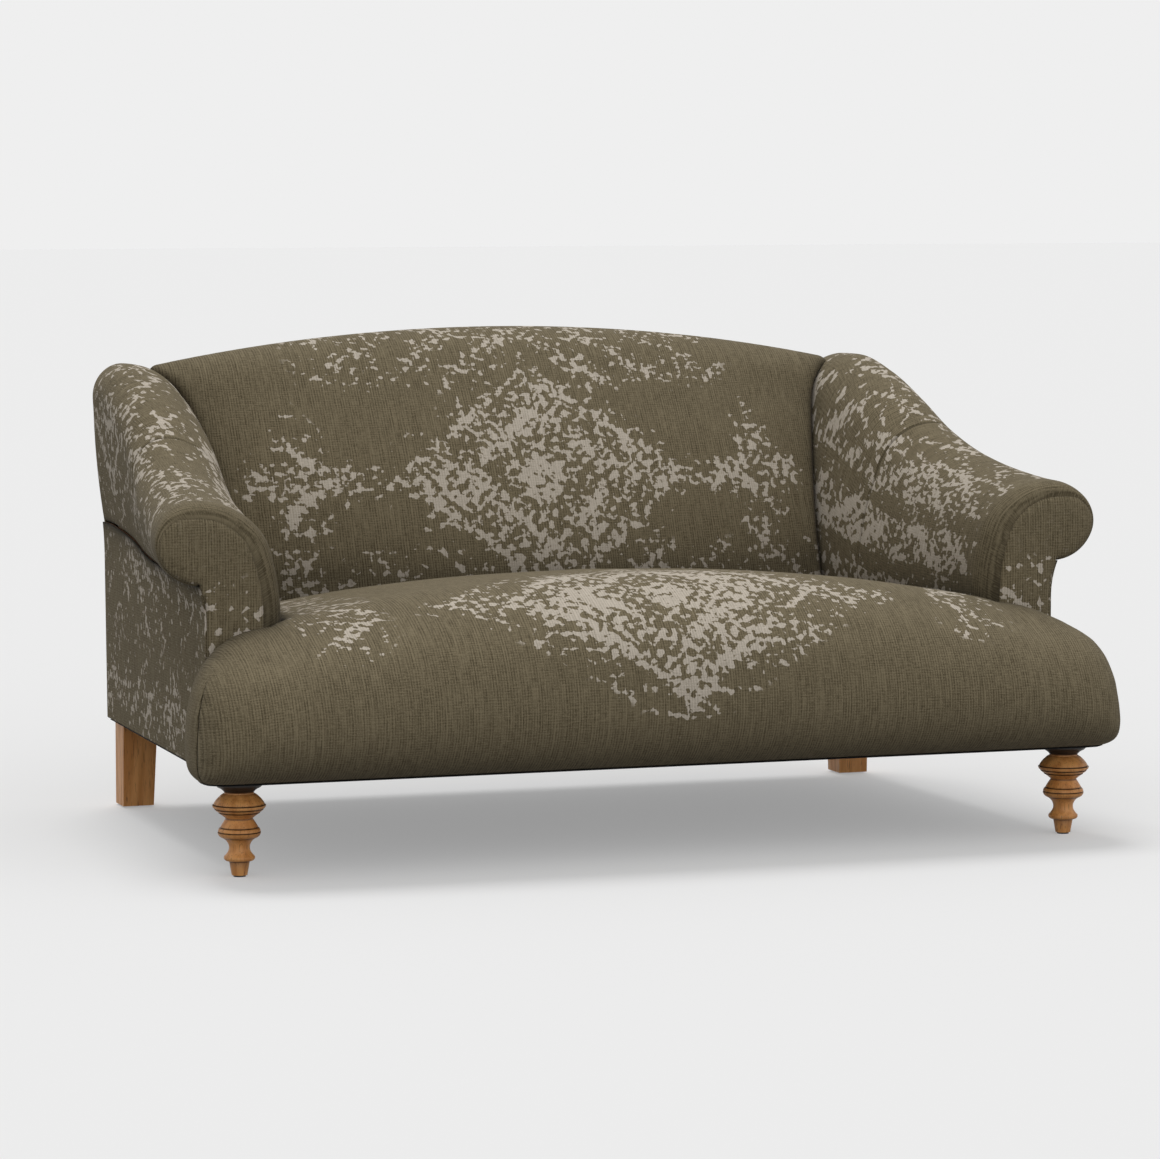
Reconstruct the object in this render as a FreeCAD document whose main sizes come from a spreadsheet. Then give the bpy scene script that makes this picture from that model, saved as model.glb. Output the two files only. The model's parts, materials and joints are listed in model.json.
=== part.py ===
import FreeCAD, Part
import Sketcher
import math
import os

from FreeCAD import Vector

# A two-seat sofa with rolled, swept arms, an arched back and a fixed bull-nosed seat.
# Millimetres. X to the sitter's left-hand arm and right-hand arm, Y to the back, Z up.
# The origin is at the middle of the footprint, on the floor.

SIZES = (
    # Whole sofa
    ("overall_width", 1830, "across the two arm rolls at the front"),
    ("overall_depth", 1150, "front of the seat nose to the outside back"),
    ("overall_height", 933, "top of the arched back"),
    ("base_height", 172, "underside of the seat frame"),
    ("fit_gap", 0.3, "room between a soft layer and what it lies on"),
    ("draw_tolerance", 0.003, "how near two drawn points lie when they are the same"),
    ("cover_thick", 3, "cover cloth with its lining"),
    ("backing_thick", 1.5, "hessian, webbing and dust cover"),
    # Feet
    ("front_leg_inset", 45, "end of the front rail to the leg's centre"),
    ("front_leg_setback", 140, "front of the nose to the leg's centre"),
    ("front_leg_bead_radius", 50, "largest turned radius"),
    ("rear_leg_side_inset", 16, "outer face of the arm at the rear to the leg's outer face"),
    ("rear_leg_setback", 32, "outside back to the leg's rear face"),
    ("rear_leg_foot_side", 61, "square at the floor"),
    ("rear_leg_head_side", 68, "square at the frame"),
    ("leg_plate_side", 60, "square steel plate"),
    ("leg_plate_thick", 3, "steel plate"),
    ("glide_radius", 11, "nylon glide"),
    ("glide_thick", 3, "nylon glide"),
    ("leg_bolt_radius", 4, "hanger bolt"),
    ("leg_bolt_length", 70, "hanger bolt"),
    ("leg_bolt_reach", 49, "how far the hanger bolt goes down into the leg"),
    ("plate_screw_radius", 2, "wood screw"),
    ("plate_screw_length", 22, "wood screw"),
    ("plate_screw_inset", 10, "plate edge to the screw"),
    # Seat frame
    ("rail_thick", 28, "beech rails"),
    ("rail_height", 120, "beech rails"),
    ("front_rail_setback", 82, "front of the nose to the rail"),
    ("nose_end_stuffing", 40, "end of the nose to the end of the front rail"),
    ("rear_rail_setback", 37, "outside back to the rail"),
    ("spring_rail_depth", 320, "outside back to the rear spring rail's front"),
    ("cross_rail_spacing", 520, "centre to centre"),
    ("cross_rail_height", 50, "two stretchers"),
    ("block_side", 70, "corner blocks"),
    ("block_height", 40, "corner and leg blocks"),
    # Springs
    ("spring_spacing", 140, "centre to centre"),
    ("spring_wire_radius", 1.9, "sinuous wire"),
    ("spring_bend_width", 50, "across the bends"),
    ("spring_pitch", 34, "bar to bar"),
    ("clip_width", 16, "steel clip"),
    ("clip_length", 14, "steel clip"),
    ("clip_height", 7, "steel clip"),
    ("tie_wire_radius", 1, "tie wires"),
    # Seat cushion
    ("nose_overhang", 57, "outer face of the arm at the facing to the end of the nose"),
    ("seat_height", 505, "crown of the seat"),
    ("seat_end_drop", 106, "crown height lost at the ends"),
    ("seat_crest_setback", 290, "front of the nose to the crown"),
    ("seat_rear_depth", 260, "outside back to the tucked rear edge"),
    ("seat_rear_drop", 55, "crown to the tucked rear edge"),
    ("nose_rise", 113, "underside of the frame to the nose's foremost line"),
    ("nose_shoulder_drop", 35, "crown to where the nose turns into the seat"),
    ("nose_shoulder_setback", 125, "where the nose turns into the seat"),
    # Arms
    ("facing_setback", 259, "front of the nose to the arm facing"),
    ("arm_front_height", 631, "ridge at the facing seam"),
    ("arm_rear_drop", 88, "top of the back to the arm's ridge at the rear, under its padding"),
    ("arm_top_padding", 24, "extra padding over the ridge"),
    ("arm_side_padding", 27, "extra padding on the inner side"),
    ("arm_pad", 20, "wadding over the arm frame"),
    ("roll_overhang", 87, "widest line of the roll to the arm's outer face at the facing"),
    ("arm_taper", 25, "how far the outer face comes in from the facing to the rear"),
    ("arm_front_width", 106, "outer to inner face at the facing"),
    ("arm_splay", 83, "how far the inner face comes in from the facing to the rear"),
    ("ridge_front_inset", 68, "widest line of the roll to the ridge at the facing"),
    ("ridge_rear_inset", 58, "widest line of the roll to the ridge at the rear"),
    ("roll_rear_overhang", 45, "widest line of the roll to the outer face at the rear"),
    ("roll_drop", 57, "ridge to the widest line of the roll at the facing"),
    ("crease_drop", 127, "ridge to the underside of the roll at the facing"),
    ("crease_rise", 52, "how far the underside of the roll climbs to the rear"),
    ("crease_depth", 10, "roll's underside outside the stem"),
    ("shoulder_drop", 61, "ridge to the inner shoulder"),
    ("shoulder_front_inset", 30, "inner face to the shoulder at the facing"),
    ("shoulder_rear_inset", 88, "inner face to the shoulder at the rear"),
    ("inner_face_drop", 181, "ridge at the facing to where the inner face turns upright"),
    ("facing_board_thick", 18, "plywood arm fronts"),
    ("arm_rail_width", 40, "arm top rail"),
    ("arm_rail_height", 45, "arm top rail"),
    ("arm_rail_drop", 11.25, "foam's inner face at the ridge to the top of the arm rail"),
    ("post_top_gap", 6.75, "underside of that rail to the top of the rear arm post"),
    ("post_side", 40, "rear arm post"),
    ("post_setback", 80, "outside back to the post's rear face"),
    ("post_inset", 13, "outer face of the arm at the rear to the post"),
    ("stuff_rail_thick", 22, "stuffing rail"),
    ("stuff_rail_height", 50, "stuffing rail"),
    ("side_board_thick", 3, "hardboard behind the outside arm"),
    # Back
    ("lumbar_depth", 422, "outside back to the inside back at the seat"),
    ("lumbar_rise", 108, "seat rails to the inside back at the seat"),
    ("midback_depth", 338, "outside back to the middle of the inside back"),
    ("midback_rise", 220, "from there to the middle of the inside back"),
    ("back_shoulder_depth", 170, "outside back to the top of the inside back"),
    ("back_shoulder_drop", 73, "top edge to the top of the inside back"),
    ("apex_depth", 30, "outside back to the highest line"),
    ("back_side_drop", 69, "top edge height lost at the arms"),
    ("back_side_inset", 70, "ridge of the arm at the rear to where that height is lost"),
    ("back_crown", 100, "how far the inside back falls away at its sides"),
    ("back_crown_inset", 39, "inner face of the arm at the rear to where it has fallen away"),
    ("back_edge_drop", 40, "top edge to the rear seam"),
    ("rear_lean", 30, "outside back, floor end further forward than the top"),
    ("back_foam_thick", 55, "inside back foam"),
    ("rib_thick", 18, "plywood ribs"),
    ("outer_rib_inset", 48, "inner face of the arm at the rear to the rib's middle"),
    ("inner_rib_spacing", 400, "centre to centre"),
    ("top_rail_thick", 22, "arched top rail"),
    ("top_rail_height", 70, "arched top rail"),
    ("top_rail_overrun", 49, "middle of the outer rib to the end of the rail"),
    ("top_rail_cover", 44, "top edge of the back to the rail"),
    ("top_rail_setback", 8, "outside back to the rail's rear face"),
    ("strap_width", 50, "back webbing"),
    ("strap_spacing", 130, "centre to centre"),
)

# A share says how far along, up or across a named size a point lies.
# Arms, from the facing to the rear: run, ridge rise, crease rise, splay and padding.
ARM_STATION_SHARES = (
    (0.00, 0.000, 0.00, 0.00, 0.0),
    (0.02, 0.000, 0.00, 0.00, 0.7),
    (0.05, 0.004, 0.00, 0.01, 1.0),
    (0.20, 0.058, 0.00, 0.24, 1.0),
    (0.37, 0.180, 0.15, 0.50, 1.0),
    (0.52, 0.390, 0.32, 0.75, 1.0),
    (0.66, 0.680, 0.70, 0.96, 1.0),
    (0.80, 0.907, 0.90, 1.00, 1.0),
    (0.92, 0.995, 1.00, 1.00, 1.0),
    (1.06, 0.980, 1.00, 1.00, 1.0),
)
# Middle points of the arcs round an arm, across and up from one end to the other
ROLL_UNDER_SHARES = (0.62, 0.27)
ROLL_OUTER_SHARES = (0.20, 0.67)
ROLL_INNER_SHARES = (0.54, 0.20)
FACE_SHARES = (0.30, 0.50)
# Seat, from the middle to one end: place across, crown drop, nose setback
SEAT_STATION_SHARES = (
    (0.00, 0.00, 0.00),
    (0.22, 0.05, 0.00),
    (0.45, 0.20, 0.00),
    (0.65, 0.44, 0.00),
    (0.79, 0.66, 0.02),
    (0.88, 0.90, 0.06),
    (0.94, 1.14, 0.14),
    (0.98, 1.50, 0.26),
    (1.00, 1.90, 0.42),
)
# Back, past the outer rib: place across as a share of half the top rail
BACK_STATION_SHARES = (1.0, 1.20)
# How much of the back's hollow is left at the top of the inside back
SHOULDER_CROWN_SHARE = 0.55
# Middle points of the arcs over the back's top, to the rear and up from one end to the other
BACK_ROLL_SHARES = (0.45, 0.72)
BACK_BROW_SHARES = (0.75, 0.68)
# Middle points of the seat's arcs, to the rear and up from one end to the other
NOSE_UNDER_SHARES = (0.67, 0.32)
NOSE_FACE_SHARES = (0.27, 0.57)
SEAT_FRONT_SHARES = (0.45, 0.76)
SEAT_REAR_SHARES = (0.50, 0.36)
# How far the nose and its shoulder follow the crown down and back at the seat's ends
NOSE_DROP_SHARE = 0.30
NOSE_SHOULDER_BACK_SHARE = 0.40
# Places of the two tie wires along the springs
TIE_WIRE_SHARES = (0.33, 0.67)

# Profile of a turned front leg: height as a share of the leg's, radius of the bead's.
# A third pair is the middle of an arc that ends at that point.
LEG_PROFILE_SHARES = (
    (0.175, 0.386, None),
    (0.180, 0.500, None),
    (0.228, 0.520, (0.204, 0.566)),
    (0.272, 0.400, (0.243, 0.440)),
    (0.337, 0.416, (0.305, 0.385)),
    (0.395, 0.600, (0.370, 0.480)),
    (0.409, 0.760, None),
    (0.456, 0.796, (0.432, 0.820)),
    (0.462, 0.750, None),
    (0.503, 0.776, (0.482, 0.808)),
    (0.509, 0.730, None),
    (0.618, 0.540, (0.566, 0.700)),
    (0.669, 0.790, (0.640, 0.620)),
    (0.675, 0.760, None),
    (0.701, 0.780, (0.688, 0.800)),
    (0.707, 0.860, None),
    (0.759, 0.992, (0.732, 1.000)),
    (0.765, 0.940, None),
    (0.851, 0.780, (0.812, 0.910)),
    (0.876, 0.580, (0.868, 0.680)),
    (0.903, 0.540, None),
)
LEG_FOOT_SHARE = 0.28
LEG_NECK_SHARE = 0.54

doc = FreeCAD.newDocument("Sofa")
sheet = doc.addObject("Spreadsheet::Sheet", "Sizes")
for row, (alias, number, note) in enumerate(SIZES, start=1):
    sheet.set(f"A{row}", str(number))
    sheet.setAlias(f"A{row}", alias)
    sheet.set(f"B{row}", note)
doc.recompute()

pieces = {}


def size(expression):
    """Value of an expression of the sheet's names, in millimetres."""
    return float(sheet.evalExpression(expression))


def bound(expression):
    """The same expression, written for a property of another object."""
    words = []
    for word in expression.replace("(", " ( ").replace(")", " ) ").split():
        known = word in ALIASES
        words.append(f"Sizes.{word}" if known else word)
    return " ".join(words)


def between(first, last, share):
    """The value a share of the way from the first to the last."""
    return first + (last - first) * share


def midway(first, last, shares):
    """A point between two others, by its share of the way along each axis."""
    return between(first[0], last[0], shares[0]), between(first[1], last[1], shares[1])


ALIASES = {alias for alias, number, note in SIZES}

# Places that several pieces share. Those across are half widths, from the middle.
ROLL_FRONT = "( overall_width / 2 )"
STEM_FRONT = f"( {ROLL_FRONT} - roll_overhang )"
STEM_REAR = f"( {STEM_FRONT} - arm_taper )"
INNER_FRONT = f"( {STEM_FRONT} - arm_front_width )"
INNER_REAR = f"( {INNER_FRONT} - arm_splay )"
ROLL_REAR = f"( {STEM_REAR} + roll_rear_overhang )"
RIDGE_FRONT = f"( {ROLL_FRONT} - ridge_front_inset )"
RIDGE_REAR = f"( {ROLL_REAR} - ridge_rear_inset )"
NOSE_END = f"( {STEM_FRONT} + nose_overhang )"
FRONT_RAIL_END = f"( {NOSE_END} - nose_end_stuffing )"
OUTER_RIB = f"( {INNER_REAR} - outer_rib_inset )"
TOP_RAIL_END = f"( {OUTER_RIB} + top_rail_overrun )"
BACK_SIDE = f"( {RIDGE_REAR} - back_side_inset )"
CROWN_SIDE = f"( {INNER_REAR} - back_crown_inset )"
ARM_REAR_HEIGHT = "( overall_height - arm_rear_drop )"
CREASE_FRONT_HEIGHT = "( arm_front_height - crease_drop )"
CREASE_REAR_HEIGHT = f"( {CREASE_FRONT_HEIGHT} + crease_rise )"
FRONT = "( 0 - overall_depth / 2 )"
REAR = "( overall_depth / 2 )"
LEG_TOP = "( base_height - leg_plate_thick )"
FRONT_LEG_Y = f"( {FRONT} + front_leg_setback )"
FRONT_RAIL_Y = f"( {FRONT} + front_rail_setback )"
REAR_RAIL_Y = f"( {REAR} - rear_rail_setback - rail_thick )"
SPRING_RAIL_Y = f"( {REAR} - spring_rail_depth )"
RAIL_TOP = "( base_height + rail_height )"
FACING_Y = f"( {FRONT} + facing_setback )"
DECK_Z = f"( {RAIL_TOP} + clip_height + fit_gap )"
FOAM_FLOOR = f"( {DECK_Z} + backing_thick + fit_gap )"

gap = size("fit_gap")
cover = size("cover_thick")
backing = size("backing_thick")
front = size(FRONT)
rear = size(REAR)
base = size("base_height")
rail_top = size(RAIL_TOP)
facing_y = size(FACING_Y)
deck_z = size(DECK_Z)
foam_floor = size(FOAM_FLOOR)
arm_run = rear - facing_y
far = size("overall_width + overall_depth + overall_height")


def finish(name, item):
    """Labels a finished sub-part and lists it for export."""
    item.Label = name
    pieces[name] = item
    return item


def solid(name, shape):
    """A sub-part, or a blank for one, made with the part functions."""
    item = doc.addObject("Part::Feature", name)
    item.Shape = shape
    return item


def mirrored(name, source):
    """The left-hand copy of a right-hand sub-part."""
    item = doc.addObject("Part::Mirroring", name)
    item.Source = source
    item.Normal = Vector(1, 0, 0)
    return item


def both_sides(name, shape):
    """A right-hand sub-part and its mirror image on the left."""
    right = finish(f"right_{name}", solid(f"right_{name}", shape))
    finish(f"left_{name}", mirrored(f"left_{name}", right))


def box(name, x, y, z, length, width, height):
    """A block whose corner and sides are expressions of the sheet's names."""
    item = doc.addObject("Part::Box", name)
    places = (("Placement.Base.x", x), ("Placement.Base.y", y), ("Placement.Base.z", z))
    sides = (("Length", length), ("Width", width), ("Height", height))
    for target, expression in places + sides:
        item.setExpression(target, bound(expression))
    return item


def cylinder(name, x, y, z, radius, height):
    """An upright cylinder whose place and sizes are expressions of the sheet's names."""
    item = doc.addObject("Part::Cylinder", name)
    places = (("Placement.Base.x", x), ("Placement.Base.y", y), ("Placement.Base.z", z))
    for target, expression in places + (("Radius", radius), ("Height", height)):
        item.setExpression(target, bound(expression))
    return item


def group(name, members):
    """One sub-part of several separate solids."""
    item = doc.addObject("Part::Compound", name)
    item.Links = members
    return item


def block(x_low, x_high, y_low, y_high, z_low, z_high):
    """A plain block between two corners, used to trim."""
    corner = Vector(x_low, y_low, z_low)
    return Part.makeBox(x_high - x_low, y_high - y_low, z_high - z_low, corner)


def prism(points, direction):
    """A closed polygon drawn out along a direction."""
    closed = Part.makePolygon(points + [points[0]])
    return Part.Face(closed).extrude(direction)


def path_edges(path):
    """Edges through (end, middle) pairs: an arc where there is a middle, else a line."""
    edges = []
    start = path[0][0]
    for end, middle in path[1:]:
        if middle is None:
            edges.append(Part.LineSegment(start, end).toShape())
        else:
            edges.append(Part.Arc(start, middle, end).toShape())
        start = end
    return edges


def reversed_path(path):
    """The same path walked from its far end."""
    ends = [end for end, middle in path][::-1]
    middles = [middle for end, middle in path][:0:-1]
    return [(ends[0], None)] + list(zip(ends[1:], middles))


def closed_wire(path):
    """A wire along the path, closed by a straight line."""
    return Part.Wire(path_edges(path + [(path[0][0], None)]))


def layer_wire(outer, inner):
    """A wire round the strip between two paths that run side by side."""
    back = reversed_path(inner)
    across = [(back[0][0], None)] + back[1:]
    return Part.Wire(path_edges(outer + across + [(outer[0][0], None)]))


def loft(wires):
    """A solid through sections that have the same edges."""
    return Part.makeLoft(wires, True, True)


# Arms. Sections lie across X and Z; each point has the direction in which padding is shed.
def arm_points(station, side_padding, top_padding):
    """Corners and arc middles of a right arm's section, as (x, z, inward x, inward z)."""
    run, rise, crease, splay, padding = station
    front_to_rear = min(run, 1.0)
    ridge = between(size("arm_front_height"), size(ARM_REAR_HEIGHT), rise)
    crease_z = between(size(CREASE_FRONT_HEIGHT), size(CREASE_REAR_HEIGHT), crease)
    stem_x = between(size(STEM_FRONT), size(STEM_REAR), front_to_rear)
    inner_x = between(size(INNER_FRONT), size(INNER_REAR), splay)
    inset = between(size("shoulder_front_inset"), size("shoulder_rear_inset"), splay)
    roll_x = between(size(ROLL_FRONT), size(ROLL_REAR), front_to_rear)
    ridge_x = between(size(RIDGE_FRONT), size(RIDGE_REAR), front_to_rear)
    side = side_padding * padding
    top = top_padding * padding
    crease_x = stem_x + size("crease_depth")
    roll_z = ridge - size("roll_drop")
    shoulder_x = inner_x + inset - side
    shoulder_z = ridge - size("shoulder_drop") + top / 2
    face_x = inner_x - side
    face_z = size("arm_front_height - inner_face_drop")

    crease_p = (crease_x, crease_z)
    roll_p = (roll_x, roll_z)
    ridge_p = (ridge_x, ridge + top)
    shoulder_p = (shoulder_x, shoulder_z)
    face_p = (face_x, face_z)
    return {
        "foot_outer": (stem_x, base, -1, 0),
        "crease": (*crease_p, 0, 1),
        "under": (*midway(crease_p, roll_p, ROLL_UNDER_SHARES), -0.5, 0.87),
        "roll": (*roll_p, -1, 0),
        "outer": (*midway(roll_p, ridge_p, ROLL_OUTER_SHARES), -0.8, -0.6),
        "ridge": (*ridge_p, 0, -1),
        "inner": (*midway(ridge_p, shoulder_p, ROLL_INNER_SHARES), 0.5, -0.87),
        "shoulder": (*shoulder_p, 0.93, -0.37),
        "face": (*midway(face_p, shoulder_p, FACE_SHARES), 0.97, -0.22),
        "lap": (*face_p, 1, 0),
        "foot_inner": (face_x, foam_floor, 1, 0),
    }


def station_at(y):
    """The arm's station values at a place along the sofa, straight between stations."""
    run = (y - facing_y) / arm_run
    stations = ARM_STATION_SHARES
    for first, last in zip(stations, stations[1:]):
        if first[0] <= run <= last[0]:
            share = (run - first[0]) / (last[0] - first[0])
            return tuple(a + (b - a) * share for a, b in zip(first, last))
    return stations[0] if run < 0 else stations[-1]


def arm_path(station, inset, side_padding=None, top_padding=None, first="crease"):
    """The arm's outline from the crease, over the roll, to the foot of the inner face."""
    side = size("arm_side_padding") if side_padding is None else side_padding
    top = size("arm_top_padding") if top_padding is None else top_padding
    points = arm_points(station, side, top)
    y = facing_y + arm_run * station[0]

    def place(name):
        x, z, inward_x, inward_z = points[name]
        return Vector(x + inset * inward_x, y, z + inset * inward_z)

    steps = (
        ("roll", "under"),
        ("ridge", "outer"),
        ("shoulder", "inner"),
        ("lap", "face"),
        ("foot_inner", None),
    )
    path = [(place("crease"), None)]
    path += [(place(end), place(middle) if middle else None) for end, middle in steps]
    if first == "shoulder":
        path = [(place("shoulder"), None)] + path[4:]
    return path


def before(y):
    """Everything in front of a place along the sofa."""
    return block(-far, far, -far, y, -far, far)


def arm_layer(outer_inset, inner_inset, start, padded=True, first="crease"):
    """A layer that wraps the arm between two insets; the core's padding can be left off."""
    wires = []
    none = None if padded else 0
    for station in ARM_STATION_SHARES:
        outer = arm_path(station, outer_inset, first=first)
        if first == "shoulder":
            outer = arm_path(station, outer_inset, none, none, first)
        inner = arm_path(station, inner_inset, none, none, first)
        wires.append(layer_wire(outer, inner))
    return loft(wires).cut(rear_side(cover + gap)).cut(before(start))


def arm_body(clearance, floor):
    """The whole arm, grown by a clearance, for trimming what meets it."""
    wires = []
    for station in ARM_STATION_SHARES:
        path = arm_path(station, -clearance)
        points = arm_points(station, size("arm_side_padding"), size("arm_top_padding"))
        y = path[0][0].y
        stem_x = points["foot_outer"][0] + clearance
        inner_foot = Vector(path[-1][0].x, y, floor)
        outer_foot = Vector(stem_x, y, floor)
        stem_top = Vector(stem_x, y, path[0][0].z)
        path = path[:-1] + [(inner_foot, None), (outer_foot, None), (stem_top, None)]
        wires.append(closed_wire(path))
    return loft(wires)


def rear_plane(z, inset):
    """Where the raked outside back is at a height, less an inset."""
    seam = size("overall_height - back_edge_drop")
    return rear - size("rear_lean") * (seam - z) / (seam - base) - inset


def rear_side(inset):
    """Everything behind the outside back, less an inset."""
    top = size("overall_height") * 2
    points = [
        Vector(-far, rear_plane(-top, inset), -top),
        Vector(-far, rear_plane(top, inset), top),
        Vector(-far, far, top),
        Vector(-far, far, -top),
    ]
    return prism(points, Vector(2 * far, 0, 0))


def stem_at(y, inset):
    """Outer face of a right arm's stem at a place along the sofa."""
    share = (y - facing_y) / arm_run
    first = size(STEM_FRONT)
    last = size(STEM_REAR)
    return first + (last - first) * share - inset


def lap_at_station(station, clearance):
    """Place in plan of the arm's inner face at a station."""
    points = arm_points(station, size("arm_side_padding"), size("arm_top_padding"))
    return Vector(points["lap"][0] - clearance, facing_y + arm_run * station[0], 0)


def beside_arms(clearance):
    """Room that the right arm and all outside it takes in plan, as a tall prism."""
    edge = [lap_at_station(station, clearance) for station in ARM_STATION_SHARES]
    edge[0].y -= clearance
    corner_rear = Vector(far, edge[-1].y, 0)
    corner_front = Vector(far, edge[0].y, 0)
    return prism(edge + [corner_rear, corner_front], Vector(0, 0, far))


def without_arms(shape, clearance):
    """A shape less the room of both arms in plan."""
    right = beside_arms(clearance)
    return shape.cut(right).cut(right.mirror(Vector(), Vector(1, 0, 0)))


# Back. Sections lie across Y and Z; each point has its inward direction and foam share.
def back_points(x):
    """Corners and arc middles of the back's section, as (y, z, inward y, inward z, foam)."""
    across = abs(x) / size(BACK_SIDE)
    drop = size("back_side_drop") * across ** 2
    crown = size("back_crown") * (abs(x) / size(CROWN_SIDE)) ** 2
    top = size("overall_height") - drop
    lumbar = (rear - size("lumbar_depth") + crown, rail_top + size("lumbar_rise"))
    middle = (
        rear - size("midback_depth") + crown, lumbar[1] + size("midback_rise") - drop / 2
    )
    shoulder = (
        rear - size("back_shoulder_depth") + crown * SHOULDER_CROWN_SHARE,
        top - size("back_shoulder_drop"),
    )
    apex = (rear - size("apex_depth"), top)
    edge_z = top - size("back_edge_drop")
    edge = (rear_plane(edge_z, 0), edge_z)
    slope = (middle[0] - lumbar[0]) / (middle[1] - lumbar[1])
    foot = (lumbar[0] - slope * (lumbar[1] - foam_floor), foam_floor)
    roll = midway(shoulder, apex, BACK_ROLL_SHARES)
    brow = midway((apex[0], edge_z), (edge[0], top), BACK_BROW_SHARES)
    return {
        "foot": (*foot, 1, 0, 1.0),
        "lumbar": (*lumbar, 0.93, -0.37, 1.0),
        "middle": (*middle, 0.90, -0.44, 1.0),
        "shoulder": (*shoulder, 0.79, -0.61, 0.85),
        "roll": (*roll, 0.55, -0.83, 0.72),
        "apex": (*apex, 0, -1, 0.60),
        "brow": (*brow, -0.6, -0.8, 0.35),
        "edge": (*edge, -1, 0, 0.20),
    }


def back_path(x, inset, foam=0.0, last="edge"):
    """The back's outline from the seat, up the inside back, over the top to the rear seam."""
    points = back_points(x)

    def place(name):
        y, z, inward_y, inward_z, share = points[name]
        depth = inset + foam * share
        return Vector(x, y + depth * inward_y, z + depth * inward_z)

    path = [
        (place("foot"), None),
        (place("lumbar"), None),
        (place("shoulder"), place("middle")),
    ]
    if last != "shoulder":
        path.append((place("apex"), place("roll")))
        path.append((place("edge"), place("brow")))
    return path


def back_stations():
    """Places across the back, from one side to the other, two of them at each rib."""
    inner = size("( inner_rib_spacing + rib_thick ) / 2")
    outer = size(f"{OUTER_RIB} + rib_thick / 2")
    step = (outer - inner) / 3
    half = [inner / 2, inner, inner + step, outer - step, outer]
    half += [share * size(TOP_RAIL_END) for share in BACK_STATION_SHARES]
    return [-x for x in half[::-1]] + [0] + half


def back_layer(outer, inner, outer_foam, inner_foam, last="edge"):
    """A layer of the back between two depths under its surface."""
    wires = []
    for x in back_stations():
        first = back_path(x, outer, outer_foam, last)
        second = back_path(x, inner, inner_foam, last)
        wires.append(layer_wire(first, second))
    return loft(wires)


def back_body(clearance):
    """The whole back, grown by a clearance, for trimming the seat."""
    wires = []
    for x in back_stations():
        path = back_path(x, -clearance)
        foot = Vector(x, path[0][0].y, 0)
        rear_top = Vector(x, far, path[-1][0].z)
        rear_foot = Vector(x, far, 0)
        steps = [(foot, None)] + [(path[0][0], None)] + path[1:]
        wires.append(closed_wire(steps + [(rear_top, None), (rear_foot, None)]))
    return loft(wires)


# Seat. Sections lie across Y and Z.
def seat_path(station, side, inset):
    """The seat's outline from under the nose, over the crown, to the tucked rear edge."""
    across, drop_share, back_share = station
    x = side * across * (size(NOSE_END) - inset)
    drop = size("seat_end_drop") * drop_share
    nose_drop = drop * NOSE_DROP_SHARE
    back = size("front_rail_setback") * back_share
    under = (front + size("front_rail_setback") - cover - gap, base)
    nose = (front + back, base + size("nose_rise") - nose_drop)
    crown_z = size("seat_height") - drop
    turn = (
        front + size("nose_shoulder_setback") + back * NOSE_SHOULDER_BACK_SHARE,
        crown_z - size("nose_shoulder_drop"),
    )
    crest = (front + size("seat_crest_setback"), crown_z)
    tuck = (rear - size("seat_rear_depth"), crown_z - size("seat_rear_drop"))

    def spot(place, inward_y, inward_z):
        return Vector(x, place[0] + inset * inward_y, place[1] + inset * inward_z)

    return [
        (spot(under, 0, 1), None),
        (spot(nose, 1, 0), spot(midway(under, nose, NOSE_UNDER_SHARES), 0.87, 0.5)),
        (spot(turn, 0.5, -0.87), spot(midway(nose, turn, NOSE_FACE_SHARES), 0.87, -0.5)),
        (spot(crest, 0, -1), spot(midway(turn, crest, SEAT_FRONT_SHARES), 0.2, -0.98)),
        (spot(tuck, 0, -1), spot(midway(crest, tuck, SEAT_REAR_SHARES), 0, -1)),
    ]


def seat_stations():
    """Seat sections from the left end to the right, with the side that each lies on."""
    left = [(station, -1) for station in SEAT_STATION_SHARES[:0:-1]]
    return left + [(station, 1) for station in SEAT_STATION_SHARES]


def seat_layer(outer, inner):
    """A skin of the seat between two depths."""
    wires = []
    for station, side in seat_stations():
        first = seat_path(station, side, outer)
        second = seat_path(station, side, inner)
        shift = Vector(first[0][0].x - second[0][0].x, 0, 0)
        second = [(end + shift, middle + shift if middle else None) for end, middle in second]
        wires.append(layer_wire(first, second))
    return loft(wires)


def seat_body(inset, stations):
    """The seat's whole volume down to the underside of its frame."""
    wires = []
    for station, side in stations:
        path = seat_path(station, side, inset)
        x = path[0][0].x
        rear_foot = Vector(x, path[-1][0].y, path[0][0].z)
        wires.append(closed_wire(path + [(rear_foot, None)]))
    return loft(wires)


# Seat frame
front_rail_blank = box(
    "front_rail_blank", f"0 - {FRONT_RAIL_END}", FRONT_RAIL_Y, "base_height",
    f"2 * {FRONT_RAIL_END}", "rail_thick", "rail_height",
)
side_front = size(f"{FRONT_RAIL_Y} + rail_thick")
side_rear = size(REAR_RAIL_Y)
rail_thick = size("rail_thick")


def side_rail_shape():
    """A right side rail, following the taper of the arm's outer face."""
    outer = cover + gap
    points = [
        Vector(stem_at(side_front, outer), side_front, base),
        Vector(stem_at(side_rear, outer), side_rear, base),
        Vector(stem_at(side_rear, outer + rail_thick), side_rear, base),
        Vector(stem_at(side_front, outer + rail_thick), side_front, base),
    ]
    return prism(points, Vector(0, 0, rail_top - base))


def rear_rail_shape():
    """The rear rail, as long as the arms' outer faces allow."""
    half = stem_at(side_rear + rail_thick, cover + gap)
    return block(-half, half, side_rear, side_rear + rail_thick, base, rail_top)


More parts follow.
